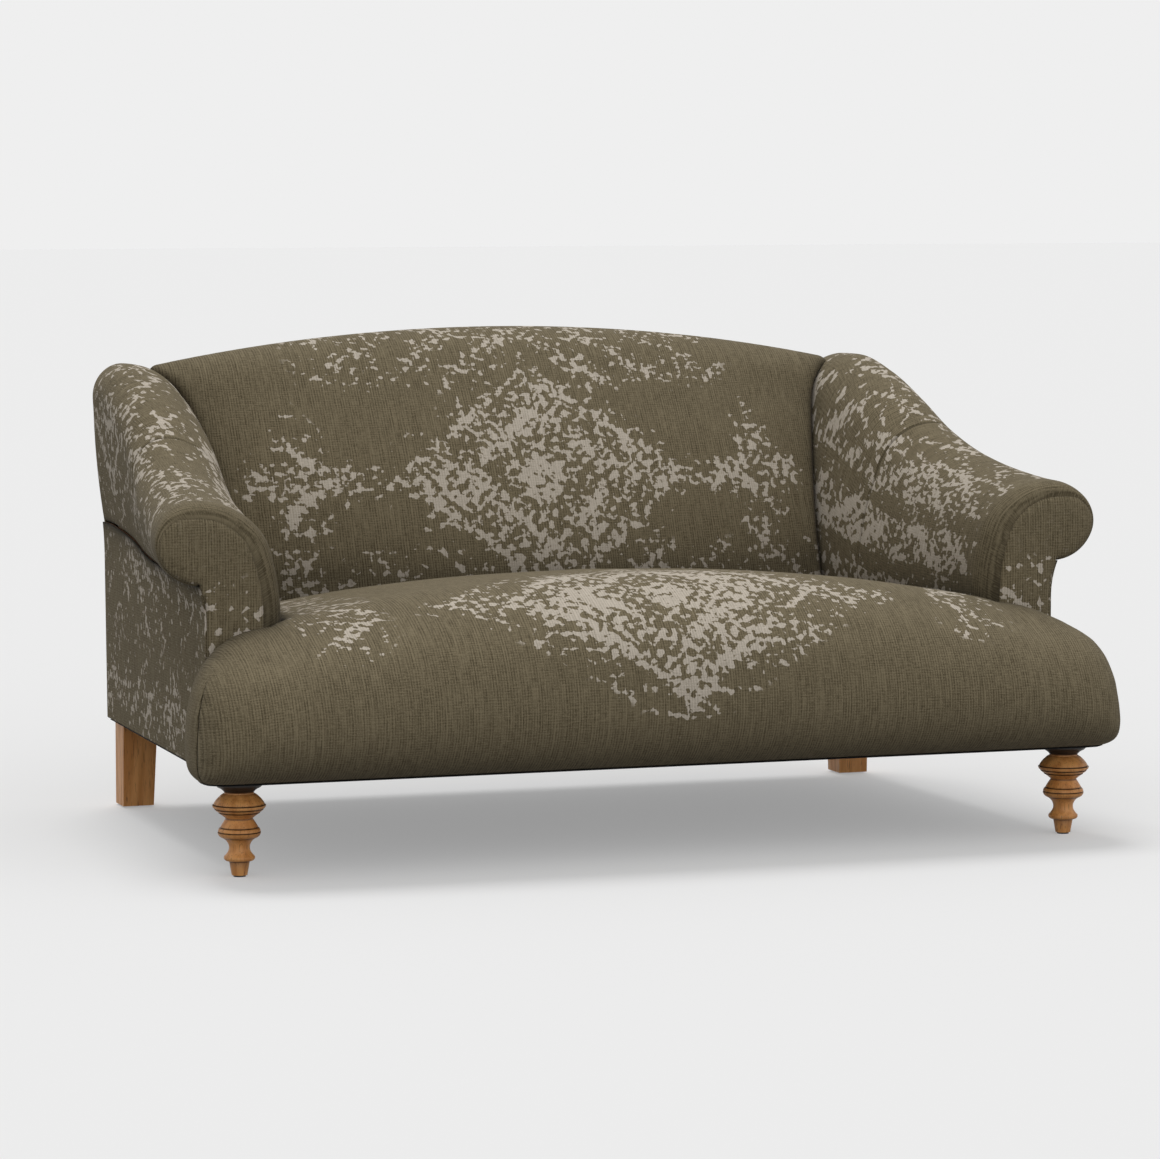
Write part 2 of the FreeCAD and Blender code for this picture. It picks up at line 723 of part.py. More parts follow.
def spring_rail_shape():
    """The rail that carries the rear ends of the springs."""
    y = size(SPRING_RAIL_Y)
    half_front = stem_at(y, cover + gap + rail_thick)
    half_rear = stem_at(y + rail_thick, cover + gap + rail_thick)
    points = [
        Vector(-half_front, y, base),
        Vector(half_front, y, base),
        Vector(half_rear, y + rail_thick, base),
        Vector(-half_rear, y + rail_thick, base),
    ]
    return prism(points, Vector(0, 0, rail_top - base))


def corner_block_shape(y, toward_front):
    """A three-cornered glue block against a right side rail and an end rail."""
    side = size("block_side")
    along = -side if toward_front else side
    inset = cover + gap + rail_thick
    points = [
        Vector(stem_at(y, inset), y, base),
        Vector(stem_at(y + along, inset), y + along, base),
        Vector(stem_at(y, inset) - side, y, base),
    ]
    return prism(points, Vector(0, 0, size("block_height")))


def leg_block_shape():
    """The block outside a side rail, over a front leg."""
    inset = cover + gap
    side = size("block_side")
    outer = size(FRONT_RAIL_END)
    points = [
        Vector(stem_at(side_front, inset), side_front, base),
        Vector(stem_at(side_front + side, inset), side_front + side, base),
        Vector(outer, side_front + side, base),
        Vector(outer, side_front, base),
    ]
    return prism(points, Vector(0, 0, size("block_height")))


# Legs, plates and their fastenings
front_leg_x = f"( {FRONT_RAIL_END} - front_leg_inset )"
rear_leg_x = f"( {STEM_REAR} - rear_leg_side_inset - rear_leg_foot_side / 2 )"
rear_leg_y = f"( {REAR} - rear_leg_setback - rear_leg_foot_side / 2 )"
LEGS = (
    ("front_left", f"0 - {front_leg_x}", FRONT_LEG_Y),
    ("front_right", front_leg_x, FRONT_LEG_Y),
    ("rear_left", f"0 - {rear_leg_x}", rear_leg_y),
    ("rear_right", rear_leg_x, rear_leg_y),
)
bolt_low = f"( {LEG_TOP} + leg_plate_thick - leg_bolt_reach )"
screw_reach = "( leg_plate_side / 2 - plate_screw_inset )"
screw_low = LEG_TOP
SCREW_CORNERS = (("0 -", "0 -"), ("0 -", "0 +"), ("0 +", "0 -"), ("0 +", "0 +"))


def leg_fastenings():
    """Bolts, screws and the holes that they need, for all four legs."""
    bolts = []
    screws = []
    holes = []
    for leg, x, y in LEGS:
        bolts.append(cylinder(f"{leg}_bolt", x, y, bolt_low, "leg_bolt_radius", "leg_bolt_length"))
        holes.append(cylinder(
            f"{leg}_bolt_hole", x, y, f"{bolt_low} - fit_gap",
            "leg_bolt_radius + fit_gap", "leg_bolt_length + 2 * fit_gap",
        ))
        for number, (sign_x, sign_y) in enumerate(SCREW_CORNERS):
            screw_x = f"{x} + ( {sign_x} {screw_reach} )"
            screw_y = f"{y} + ( {sign_y} {screw_reach} )"
            head = cylinder(
                f"{leg}_screw_head_{number}", screw_x, screw_y, screw_low,
                "plate_screw_radius * 2", "plate_screw_radius",
            )
            shank = cylinder(
                f"{leg}_screw_shank_{number}", screw_x, screw_y, f"{screw_low} + plate_screw_radius",
                "plate_screw_radius", "plate_screw_length",
            )
            screw = doc.addObject("Part::MultiFuse", f"{leg}_screw_{number}")
            screw.Shapes = [head, shank]
            screws.append(screw)
            holes.append(cylinder(
                f"{leg}_screw_sink_{number}", screw_x, screw_y, screw_low,
                "plate_screw_radius * 2 + fit_gap", "plate_screw_radius + fit_gap",
            ))
            holes.append(cylinder(
                f"{leg}_screw_hole_{number}", screw_x, screw_y, f"{screw_low} + plate_screw_radius",
                "plate_screw_radius + fit_gap", "plate_screw_length + fit_gap",
            ))
    return bolts, screws, holes


bolts, screws, holes = leg_fastenings()
finish("leg_bolts", group("leg_bolts", bolts))
finish("plate_screws", group("plate_screws", screws))
bores = group("fastener_holes", holes)


def bored(name, blank):
    """A sub-part with the leg fastenings' holes cut through it."""
    item = doc.addObject("Part::Cut", name)
    item.Base = blank
    item.Tool = bores
    return finish(name, item)


bored("front_rail", front_rail_blank)
bored("rear_rail", solid("rear_rail_blank", rear_rail_shape()))
right_rail_blank = solid("right_side_rail_blank", side_rail_shape())
bored("right_side_rail", right_rail_blank)
bored("left_side_rail", mirrored("left_side_rail_blank", right_rail_blank))
finish("spring_rail", solid("spring_rail", spring_rail_shape()))

cross_rail_x = "( cross_rail_spacing / 2 - rail_thick / 2 )"
cross_rail_y = f"( {FRONT_RAIL_Y} + rail_thick )"
cross_rail_run = f"( {SPRING_RAIL_Y} - {cross_rail_y} )"
finish("cross_rails", group("cross_rails", [
    box("cross_rail_right", cross_rail_x, cross_rail_y, "base_height",
        "rail_thick", cross_rail_run, "cross_rail_height"),
    box("cross_rail_left", f"0 - {cross_rail_x} - rail_thick", cross_rail_y, "base_height",
        "rail_thick", cross_rail_run, "cross_rail_height"),
]))

front_block = solid("front_corner_block", corner_block_shape(side_front, False))
rear_block = solid("rear_corner_block", corner_block_shape(side_rear, True))
blocks = [front_block, rear_block]
blocks += [mirrored(f"{item.Name}_left", item) for item in (front_block, rear_block)]
bored("corner_blocks", group("corner_block_blanks", blocks))
leg_block = solid("leg_block_right", leg_block_shape())
bored("leg_blocks", group("leg_block_blanks", [leg_block, mirrored("leg_block_left", leg_block)]))

plate_half = "( leg_plate_side / 2 )"
plates = [
    box(f"{leg}_plate", f"{x} - {plate_half}", f"{y} - {plate_half}", LEG_TOP,
        "leg_plate_side", "leg_plate_side", "leg_plate_thick")
    for leg, x, y in LEGS
]
bored("leg_plates", group("leg_plate_blanks", plates))


def turned_leg(name, x, y):
    """A turned front leg: one revolved profile, with a bore for its bolt."""
    body = doc.addObject("PartDesign::Body", name)
    sketch = body.newObject("Sketcher::SketchObject", f"{name}_profile")
    plane = [item for item in body.Origin.OriginFeatures if item.Role == "XZ_Plane"][0]
    sketch.AttachmentSupport = [(plane, "")]
    sketch.MapMode = "FlatFace"
    reach = LEG_TOP
    bead = "front_leg_bead_radius"
    bore = "( leg_bolt_radius + fit_gap )"
    bore_low = f"( {bolt_low} - fit_gap )"
    outline = [("0", "glide_thick", None), (f"{bead} * {LEG_FOOT_SHARE}", "glide_thick", None)]
    for height_share, radius_share, arc in LEG_PROFILE_SHARES:
        middle = None
        if arc:
            middle = (f"{bead} * {arc[1]}", f"{reach} * {arc[0]}")
        outline.append((f"{bead} * {radius_share}", f"{reach} * {height_share}", middle))
    outline.append((f"{bead} * {LEG_NECK_SHARE}", reach, None))
    outline.append((bore, reach, None))
    outline.append((bore, bore_low, None))
    outline.append(("0", bore_low, None))
    ends = [Vector(size(radius), size(height), 0) for radius, height, middle in outline]
    count = len(outline)
    for index in range(count):
        following = (index + 1) % count
        middle = outline[following][2]
        if middle is None:
            sketch.addGeometry(Part.LineSegment(ends[index], ends[following]), False)
        else:
            over = Vector(size(middle[0]), size(middle[1]), 0)
            arc = Part.Arc(ends[index], over, ends[following])
            sketch.addGeometry(arc, False)
    starts = []
    for index in range(count):
        first = sketch.getPoint(index, 1)
        starts.append(1 if first.distanceToPoint(ends[index]) < size("draw_tolerance") else 2)
    for index in range(count):
        following = (index + 1) % count
        end = 3 - starts[index]
        sketch.addConstraint(Sketcher.Constraint("Coincident", index, end, following, starts[following]))
    for index, (radius, height, middle) in enumerate(outline):
        for kind, value in (("DistanceX", radius), ("DistanceY", height)):
            place = sketch.addConstraint(
                Sketcher.Constraint(kind, -1, 1, index, starts[index], size(value))
            )
            if size(value) > 0:
                sketch.setExpression(f"Constraints[{place}]", bound(value))
    doc.recompute()
    turning = body.newObject("PartDesign::Revolution", f"{name}_turning")
    turning.Profile = sketch
    turning.ReferenceAxis = (sketch, ["V_Axis"])
    turning.Angle = 360
    body.setExpression("Placement.Base.x", bound(x))
    body.setExpression("Placement.Base.y", bound(y))
    return finish(name, body)


def square_leg_shape(x, y):
    """A square rear leg whose inner and front faces taper to the foot."""
    foot = size("rear_leg_foot_side")
    head = size("rear_leg_head_side")
    side = 1 if x > 0 else -1
    outer = x + side * foot / 2
    back = y + foot / 2
    wires = []
    for z, reach in ((size("glide_thick"), foot), (size(LEG_TOP), head)):
        inner = outer - side * reach
        corners = [
            Vector(inner, back - reach, z),
            Vector(outer, back - reach, z),
            Vector(outer, back, z),
            Vector(inner, back, z),
        ]
        wires.append(Part.makePolygon(corners + [corners[0]]))
    return loft(wires)


glides = []
for leg, x, y in LEGS:
    glides.append(cylinder(f"{leg}_glide", x, y, "0", "glide_radius", "glide_thick"))
    if leg.startswith("front"):
        turned_leg(f"{leg}_leg", x, y)
    else:
        bored(f"{leg}_leg", solid(f"{leg}_leg_blank", square_leg_shape(size(x), size(y))))
finish("leg_glides", group("leg_glides", glides))

# Springs and the deck
spring_start = size(f"{FRONT_RAIL_Y} + rail_thick / 2")
spring_end = size(f"{SPRING_RAIL_Y} + rail_thick / 2 - clip_length / 2")
wire_radius = size("spring_wire_radius")
wire_z = rail_top + size("clip_height / 2")


def spring_shape(x):
    """One sinuous spring: bars across joined by half-turn bends, with straight ends."""
    pitch = size("spring_pitch")
    bend = pitch / 2
    half = size("spring_bend_width / 2") - bend
    turn = half - half * math.sqrt(0.5)
    bars = int((spring_end - spring_start - 2 * bend) // pitch)
    lead = (spring_end - spring_start - bars * pitch) / 2 - half

    def spot(across, along):
        return Vector(x + across, along, wire_z)

    y = spring_start + lead
    edges = [Part.LineSegment(spot(0, spring_start), spot(0, y))]
    here = spot(half, y + half)
    edges.append(Part.Arc(spot(0, y), spot(turn, y + half - turn), here))
    y += half
    side = 1
    for bar in range(bars):
        over = spot(side * (half + bend), y + bend)
        after = spot(side * half, y + pitch)
        edges.append(Part.Arc(here, over, after))
        y += pitch
        side = -side
        if bar + 1 < bars:
            here = spot(side * half, y)
            edges.append(Part.LineSegment(after, here))
    last = spot(0, y + half)
    edges.append(Part.Arc(after, spot(-side * turn, y + turn), last))
    edges.append(Part.LineSegment(last, spot(0, spring_end)))
    path = Part.Wire([edge.toShape() for edge in edges])
    ring = Part.Wire(Part.makeCircle(wire_radius, Vector(x, spring_start, wire_z), Vector(0, 1, 0)))
    return path.makePipeShell([ring], True, False)


def clip_shape(x, y):
    """A clip on a rail with a round channel for the spring's end."""
    half = size("clip_width / 2")
    length = size("clip_length")
    body = block(x - half, x + half, y - length / 2, y + length / 2, rail_top, rail_top + size("clip_height"))
    channel = Part.makeCylinder(wire_radius + gap, 2 * length, Vector(x, y - length, wire_z), Vector(0, 1, 0))
    return body.cut(channel)


spacing = size("spring_spacing")
reach = size(f"{INNER_REAR} - spring_bend_width")
per_side = int(reach // spacing + 0.5)
spring_places = [(number + 0.5) * spacing for number in range(-per_side, per_side)]
springs = [spring_shape(x) for x in spring_places]
finish("seat_springs", solid("seat_springs", Part.makeCompound(springs)))
clip_length = size("clip_length")
clip_rows = (spring_start, spring_end)
clips = [clip_shape(x, y) for x in spring_places for y in clip_rows]
finish("spring_clips", solid("spring_clips", Part.makeCompound(clips)))

tie_radius = size("tie_wire_radius")
tie_half = spring_places[-1] + size("spring_bend_width / 2")
tie_z = wire_z - wire_radius - tie_radius
ties = []
for share in TIE_WIRE_SHARES:
    y = spring_start + (spring_end - spring_start) * share
    ties.append(Part.makeCylinder(tie_radius, 2 * tie_half, Vector(-tie_half, y, tie_z), Vector(1, 0, 0)))
finish("spring_tie_wires", solid("spring_tie_wires", Part.makeCompound(ties)))

seat_clearance = cover + gap
deck_front = size(FRONT_RAIL_Y)
deck_rear = size(f"{SPRING_RAIL_Y} + rail_thick / 2")
return_x = stem_at(facing_y, cover)
return_rear = facing_y - seat_clearance
return_front = return_rear - cover
return_room = block(return_x - gap, far, return_front - gap, far, base, far)
room_left = return_room.mirror(Vector(), Vector(1, 0, 0))
deck = block(-size(FRONT_RAIL_END), size(FRONT_RAIL_END), deck_front, deck_rear, deck_z, deck_z + backing)
deck = without_arms(deck, seat_clearance).cut(return_room).cut(room_left)
finish("seat_hessian", solid("seat_hessian", deck))

# Seat cushion and its cover
back_room = back_body(gap)
seat_skin = seat_layer(0, cover)
seat_skin = without_arms(seat_skin, seat_clearance).cut(back_room)
finish("seat_cover", solid("seat_cover", seat_skin))

seat_fill = seat_body(cover + gap, seat_stations())
seat_fill = without_arms(seat_fill, seat_clearance).cut(back_room)
nose_back = deck_front - gap
above_deck = block(-far, far, nose_back + gap, far, foam_floor, far)
frame_room = block(
    -size(FRONT_RAIL_END) - gap, size(FRONT_RAIL_END) + gap, nose_back, far, 0, foam_floor
)
over_frame = block(-far, far, nose_back, far, foam_floor - gap, far)
seat_fill = seat_fill.cut(return_room).cut(room_left)
finish("seat_foam", solid("seat_foam", seat_fill.common(above_deck)))
finish("nose_foam", solid("nose_foam", seat_fill.cut(over_frame).cut(frame_room)))


def seat_border_shape():
    """The nose's end panel, turned behind the nose where that stands outside the arm."""
    end_x = size(NOSE_END)
    path = seat_path(SEAT_STATION_SHARES[-1], 1, cover + gap)
    shift = Vector(end_x - cover - path[0][0].x, 0, 0)
    path = [(end + shift, middle + shift if middle else None) for end, middle in path]
    feet = [Vector(path[-1][0].x, path[-1][0].y, base), Vector(path[0][0].x, path[0][0].y, base)]
    panel = closed_wire(path + [(foot, None) for foot in feet])
    panel = without_arms(Part.Face(panel).extrude(Vector(cover, 0, 0)), seat_clearance)
    strip_behind = block(return_x, end_x, return_front, return_rear, base, far)
    behind_nose = seat_body(cover + gap, seat_stations()).common(strip_behind)
    return panel.fuse(behind_nose).removeSplitter()


both_sides("seat_border", seat_border_shape())

# Arms
core = cover + size("arm_pad")
board_front = facing_y + cover + gap
board_thick = size("facing_board_thick")
board_rear = board_front + board_thick
both_sides("arm_cover", arm_layer(0, cover, facing_y))
both_sides("arm_foam", arm_layer(cover + gap, core, board_front, False))
both_sides("arm_hessian", arm_layer(
    core + gap, core + gap + backing, board_rear + gap, False, "shoulder"
))


def facing_outline(inset, floor):
    """The arm front's closed outline at the facing seam, less an inset."""
    station = ARM_STATION_SHARES[0]
    path = arm_path(station, inset)
    points = arm_points(station, 0, 0)
    stem_x = points["foot_outer"][0] - inset
    y = path[0][0].y
    feet = [(Vector(path[-1][0].x, y, floor), None), (Vector(stem_x, y, floor), None)]
    return closed_wire(path[:-1] + feet + [(Vector(stem_x, y, path[0][0].z), None)])


facing = Part.Face(facing_outline(cover + gap, foam_floor)).extrude(Vector(0, cover, 0))
both_sides("arm_facing_cover", facing)
board = Part.Face(facing_outline(core + cover, rail_top)).extrude(Vector(0, board_thick, 0))
board.translate(Vector(0, cover + gap, 0))
both_sides("arm_facing_board", board)

post_y = f"( {REAR} - post_setback - post_side )"
rail_run_start = board_rear
post_front = size(post_y)
rail_run_end = post_front + size("post_side")


def along_arm(y, name, axis):
    """A core point's X or Z part at a place along the arm."""
    return arm_points(station_at(y), 0, 0)[name][axis]


def run_stops(start, end):
    """Places along the arm at which a rail changes direction."""
    inside = [facing_y + arm_run * station[0] for station in ARM_STATION_SHARES]
    return [start] + [y for y in inside if start < y < end] + [end]


def arm_rail_shape():
    """The swept top rail of an arm, under the ridge."""
    half = size("arm_rail_width / 2")
    height = size("arm_rail_height")
    wires = []
    for y in run_stops(rail_run_start, rail_run_end):
        x = along_arm(y, "ridge", 0)
        top = along_arm(y, "ridge", 1) - core - size("arm_rail_drop")
        corners = [
            Vector(x - half, y, top - height),
            Vector(x + half, y, top - height),
            Vector(x + half, y, top),
            Vector(x - half, y, top),
        ]
        wires.append(Part.makePolygon(corners + [corners[0]]))
    return loft(wires)


def stuff_rail_shape():
    """The rail that the inside arm is tacked to, on the spring rail and the arm front."""
    thick = size("stuff_rail_thick")
    height = size("stuff_rail_height")
    end = size(SPRING_RAIL_Y) + rail_thick
    inset = core + 2 * gap + backing
    wires = []
    for y in run_stops(rail_run_start, end):
        inner = along_arm(y, "lap", 0) + inset
        corners = [
            Vector(inner, y, rail_top),
            Vector(inner + thick, y, rail_top),
            Vector(inner + thick, y, rail_top + height),
            Vector(inner, y, rail_top + height),
        ]
        wires.append(Part.makePolygon(corners + [corners[0]]))
    return loft(wires)


arm_rail = arm_rail_shape()
both_sides("arm_top_rail", arm_rail)
both_sides("arm_stuff_rail", stuff_rail_shape())
post_reach = along_arm(post_front, "ridge", 1) - core - size("arm_rail_height + post_top_gap")
post_half = size("post_side / 2")
post_mid = size(f"{STEM_REAR} - post_inset - post_side / 2")
post = block(
    post_mid - post_half, post_mid + post_half,
    post_front, rail_run_end, rail_top, post_reach,
)
both_sides("arm_rear_post", post.cut(arm_rail))


def side_panel(outer_inset, thick, floor, start):
    """A flat layer on an arm's outer face, from a floor up to the roll's crease."""
    wires = []
    for y in run_stops(start, rear + 2 * cover):
        x = stem_at(y, outer_inset)
        top = along_arm(y, "crease", 1) - gap
        corners = [
            Vector(x - thick, y, floor),
            Vector(x, y, floor),
            Vector(x, y, top),
            Vector(x - thick, y, top),
        ]
        wires.append(Part.makePolygon(corners + [corners[0]]))
    return loft(wires).cut(rear_side(cover + gap))


both_sides("outside_arm_cover", side_panel(0, cover, base, facing_y))
both_sides("outside_arm_board", side_panel(
    cover + gap, size("side_board_thick"), rail_top, board_rear
))

# Back
right_arm_room = arm_body(gap, 0)
left_arm_room = right_arm_room.mirror(Vector(), Vector(1, 0, 0))


def between_arms(shape):
    """A layer of the back, trimmed where the arms meet it."""
    return shape.cut(right_arm_room).cut(left_arm_room)


foam_depth = size("back_foam_thick")
behind = rear_side(cover + gap)
skin = back_layer(0, cover, 0, 0).cut(behind)
finish("inside_back_cover", solid("inside_back_cover", between_arms(skin)))
filling = back_layer(cover + gap, cover, 0, foam_depth).cut(behind)
finish("back_foam", solid("back_foam", between_arms(filling)))
rib_edge = size(f"{OUTER_RIB} + rib_thick / 2")


def strip(layer, x_low, x_high):
    """The part of a layer between two places across the sofa."""
    return layer.common(block(x_low, x_high, -far, far, -far, far))


hessian_depth = cover + gap
cloth = back_layer(hessian_depth, hessian_depth + backing, foam_depth, foam_depth, "shoulder")
finish("back_hessian", solid("back_hessian", strip(cloth, -rib_edge, rib_edge)))
strap_depth = hessian_depth + backing + gap
web = back_layer(strap_depth, strap_depth + backing, foam_depth, foam_depth, "shoulder")
strap_half = size("strap_width / 2")
strap_spacing = size("strap_spacing")
strap_count = int((rib_edge - strap_half) // strap_spacing)
strap_places = [number * strap_spacing for number in range(-strap_count, strap_count + 1)]
straps = [strip(web, x - strap_half, x + strap_half) for x in strap_places]
finish("back_webbing", solid("back_webbing", Part.makeCompound(straps)))
rib_places = [size("inner_rib_spacing / 2"), size(OUTER_RIB)]

top_rail_rear = rear - size("top_rail_setback")
top_rail_front = top_rail_rear - size("top_rail_thick")
top_rail_half = size(TOP_RAIL_END)
top_rail_height = size("top_rail_height")


def top_edge(x):
    """Height of the back's top edge at a place across."""
    return back_points(x)["apex"][1]


def top_rail_shape():
    """The arched top rail, sawn from board."""
    high = size("top_rail_cover")
    ends = []
    for depth in (high, high + top_rail_height):
        ends.append([
            Vector(-top_rail_half, top_rail_front, top_edge(top_rail_half) - depth),
            Vector(0, top_rail_front, top_edge(0) - depth),
            Vector(top_rail_half, top_rail_front, top_edge(top_rail_half) - depth),
        ])
    upper, lower = ends
    path = [(upper[0], None), (upper[2], upper[1]), (lower[2], None), (lower[0], lower[1])]
    return Part.Face(closed_wire(path)).extrude(Vector(0, top_rail_rear - top_rail_front, 0))


rib_depth = strap_depth + backing + gap
rib_foot_y = deck_rear + gap


def rib_shape(x):
    """A plywood rib: raked front edge, upright rear edge and a notch for the top rail."""
    half = size("rib_thick / 2")
    edge = back_path(abs(x) + half, rib_depth, foam_depth, "shoulder")
    low_y = edge[0][0].y
    notch_low = top_edge(x) - size("top_rail_cover") - top_rail_height
    start = x - half
    front_top = edge[-1][0].z
    back_edge = [
        Vector(start, top_rail_front, front_top),
        Vector(start, top_rail_front, notch_low),
        Vector(start, rear_plane(notch_low, cover + gap), notch_low),
        Vector(start, rear_plane(rail_top, cover + gap), rail_top),
        Vector(start, rib_foot_y, rail_top),
        Vector(start, rib_foot_y, foam_floor + gap),
        Vector(start, low_y, foam_floor + gap),
    ]
    lumbar = Vector(start, edge[1][0].y, edge[1][0].z)
    middle = Vector(start, edge[2][1].y, edge[2][1].z)
    shoulder = Vector(start, edge[2][0].y, edge[2][0].z)
    path = [(back_edge[-1], None), (lumbar, None), (shoulder, middle)]
    path += [(corner, None) for corner in back_edge[:-1]]
    rib = Part.Face(closed_wire(path)).extrude(Vector(2 * half, 0, 0))
    return rib


top_rail = top_rail_shape().cut(behind)
finish("back_top_rail", solid("back_top_rail", top_rail))
ribs = [rib_shape(side * place).cut(top_rail) for side in (-1, 1) for place in rib_places]
finish("back_ribs", solid("back_ribs", Part.makeCompound(ribs)))


def outside_back_shape():
    """The panel that closes the rear, from the frame up to the rolls and the arched top."""
    arm_end = slice_of(arm_body(0, base), rear)
    half = size(BACK_SIDE)
    drop = size("back_edge_drop - 2 * cover_thick")
    left_top = Vector(-half, rear, top_edge(half) - drop)
    right_top = Vector(half, rear, top_edge(half) - drop)
    middle_top = Vector(0, rear, top_edge(0) - drop)
    low_left = Vector(-half, rear, base)
    low_right = Vector(half, rear, base)
    path = [(low_left, None), (left_top, None), (right_top, middle_top), (low_right, None)]
    outline = Part.Face(closed_wire(path))
    faces = [arm_end, outline, arm_end.mirror(Vector(), Vector(1, 0, 0))]
    depth = Vector(0, -far / 2, 0)
    slabs = [face.extrude(depth) for face in faces]
    slab = slabs[0].fuse(slabs[1:])
    return slab.common(rear_side(cover)).cut(rear_side(0)).removeSplitter()


def slice_of(body, y):
    """The face that a body shows where it is cut across at a place along the sofa."""
    wires = body.slice(Vector(0, 1, 0), y)
    return Part.Face(wires[0])


finish("outside_back_cover", solid("outside_back_cover", outside_back_shape()))


def dust_cover_shape():
    """Black cloth under the frame, cut round the leg plates."""
    y_front = deck_front
    y_rear = side_rear + rail_thick
    half_nose = size(NOSE_END)
    z = base - backing
    right = [
        Vector(half_nose, y_front, z),
        Vector(half_nose, return_rear, z),
        Vector(stem_at(return_rear, cover), return_rear, z),
        Vector(stem_at(y_rear, cover), y_rear, z),
    ]
    left = [Vector(-corner.x, corner.y, z) for corner in right[::-1]]
    cloth_sheet = prism(right + left, Vector(0, 0, backing))
    clear = size("leg_plate_side / 2") + cover
    for leg, x, y in LEGS:
        cloth_sheet = cloth_sheet.cut(block(
            size(x) - clear, size(x) + clear, size(y) - clear, size(y) + clear,
            base - 2 * backing, base + backing,
        ))
    return cloth_sheet


finish("dust_cover", solid("dust_cover", dust_cover_shape()))

doc.recompute()
for item in doc.Objects:
    bad = [state for state in item.State if state in ("Invalid", "Error")]
    if bad:
        raise RuntimeError(f"{item.Label} is {bad}")

os.makedirs("parts", exist_ok=True)
for name in sorted(pieces):
    shape = pieces[name].Shape
    if shape.isNull() or not shape.isValid() or not shape.Solids:
        raise RuntimeError(f"{name} has no valid solid")
    shape.exportStep(f"parts/{name}.step")
    low = shape.optimalBoundingBox(True, False)
    print(f"{name}: {len(shape.Solids)} solids, {shape.Volume / 1000:.1f} cm3, "
          f"z {low.ZMin:.1f} to {low.ZMax:.1f}")
whole = Part.makeCompound([pieces[name].Shape for name in pieces]).optimalBoundingBox(True, False)
print(f"whole: x {whole.XMin:.1f} to {whole.XMax:.1f}, y {whole.YMin:.1f} to {whole.YMax:.1f}, "
      f"z {whole.ZMin:.1f} to {whole.ZMax:.1f}, {len(pieces)} sub-parts")
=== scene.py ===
"""Two-seat sofa with scrolled arms, an arched back and a bull-nosed seat, dressed round its frame.

Lengths are in metres. The front faces -Y, +X and the pieces named right lie to the right as seen
from the front, and the origin lies on the floor at the middle of the footprint.
"""

from __future__ import annotations

import bisect
import functools
import json
import logging
import math
from collections.abc import Callable, Sequence
from dataclasses import dataclass, field
from enum import Enum

import bmesh
import bpy
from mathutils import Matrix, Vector

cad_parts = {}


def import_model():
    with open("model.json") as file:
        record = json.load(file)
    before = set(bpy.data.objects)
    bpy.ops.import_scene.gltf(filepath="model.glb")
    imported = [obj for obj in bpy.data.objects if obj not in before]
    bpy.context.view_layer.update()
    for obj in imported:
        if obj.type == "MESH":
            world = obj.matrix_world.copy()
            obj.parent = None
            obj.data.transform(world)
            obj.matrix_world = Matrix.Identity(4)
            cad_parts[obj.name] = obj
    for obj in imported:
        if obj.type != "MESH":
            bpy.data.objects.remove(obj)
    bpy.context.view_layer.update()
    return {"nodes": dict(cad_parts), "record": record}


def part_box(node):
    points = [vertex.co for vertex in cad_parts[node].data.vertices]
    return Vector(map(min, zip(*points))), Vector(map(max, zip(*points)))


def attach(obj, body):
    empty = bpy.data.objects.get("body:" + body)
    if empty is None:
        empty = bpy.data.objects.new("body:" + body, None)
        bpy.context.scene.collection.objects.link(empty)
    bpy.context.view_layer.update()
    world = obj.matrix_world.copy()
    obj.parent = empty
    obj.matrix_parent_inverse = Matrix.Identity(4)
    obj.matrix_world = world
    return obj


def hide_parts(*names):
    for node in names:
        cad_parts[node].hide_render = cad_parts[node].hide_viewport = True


log = logging.getLogger("sofa")

Point = tuple[float, float]
Place = tuple[float, float, float]
Colour = tuple[float, float, float, float]

MM = 0.001

# The print's repeat across and along the cloth, and its shift from a right-hand piece to its copy
REPEAT = (0.82, 0.72)
OTHER_SIDE = (4 * REPEAT[0], 3 * REPEAT[1])


class Side(Enum):
    """The sofa's two sides, each with its sign across."""

    LEFT = -1
    RIGHT = 1

    @property
    def label(self) -> str:
        """The side's word in the names of pieces."""
        return self.name.lower()


# Shape helpers


def blend(first: float, last: float, share: float) -> float:
    """The value a share of the way from the first to the last."""
    return first + (last - first) * share


def midway(first: Point, last: Point, shares: Point) -> Point:
    """A point between two others, by its share of the way along each axis."""
    return blend(first[0], last[0], shares[0]), blend(first[1], last[1], shares[1])


def ease(value: float, low: float, high: float) -> float:
    """0 below the low value, 1 above the high one and a smooth step between them."""
    share = min(max((value - low) / (high - low), 0.0), 1.0)
    return share * share * (3.0 - 2.0 * share)


def quarter_round(depth: float, radius: float) -> float:
    """How far an edge rounded to a radius has drawn in, at a depth behind the edge's face."""
    left = max(radius - depth, 0.0)
    return radius - math.sqrt(max(radius * radius - left * left, 0.0))


def hump(value: float, middle: float, half: float) -> float:
    """1 at the middle, fading evenly to both sides."""
    return math.exp(-((value - middle) / half) ** 2)


@dataclass(frozen=True)
class Shade:
    """Painted shade that fades with the distance from where it is deepest."""

    strength: float
    reach: float

    def at(self, distance: float) -> float:
        """How deep the painted shade is at a distance."""
        return self.strength * math.exp(-max(distance, 0.0) / self.reach)


@dataclass(frozen=True)
class Lozenge:
    """A lozenge of print that fades at its edge."""

    strength: float
    half: float
    tall: float
    fade: Point = (-0.12, 0.35)

    def at(self, x: float, y: float) -> float:
        """How much print there is at a place from its middle."""
        inside = 1.0 - abs(x) / self.half - abs(y) / self.tall
        return self.strength * ease(inside, *self.fade)


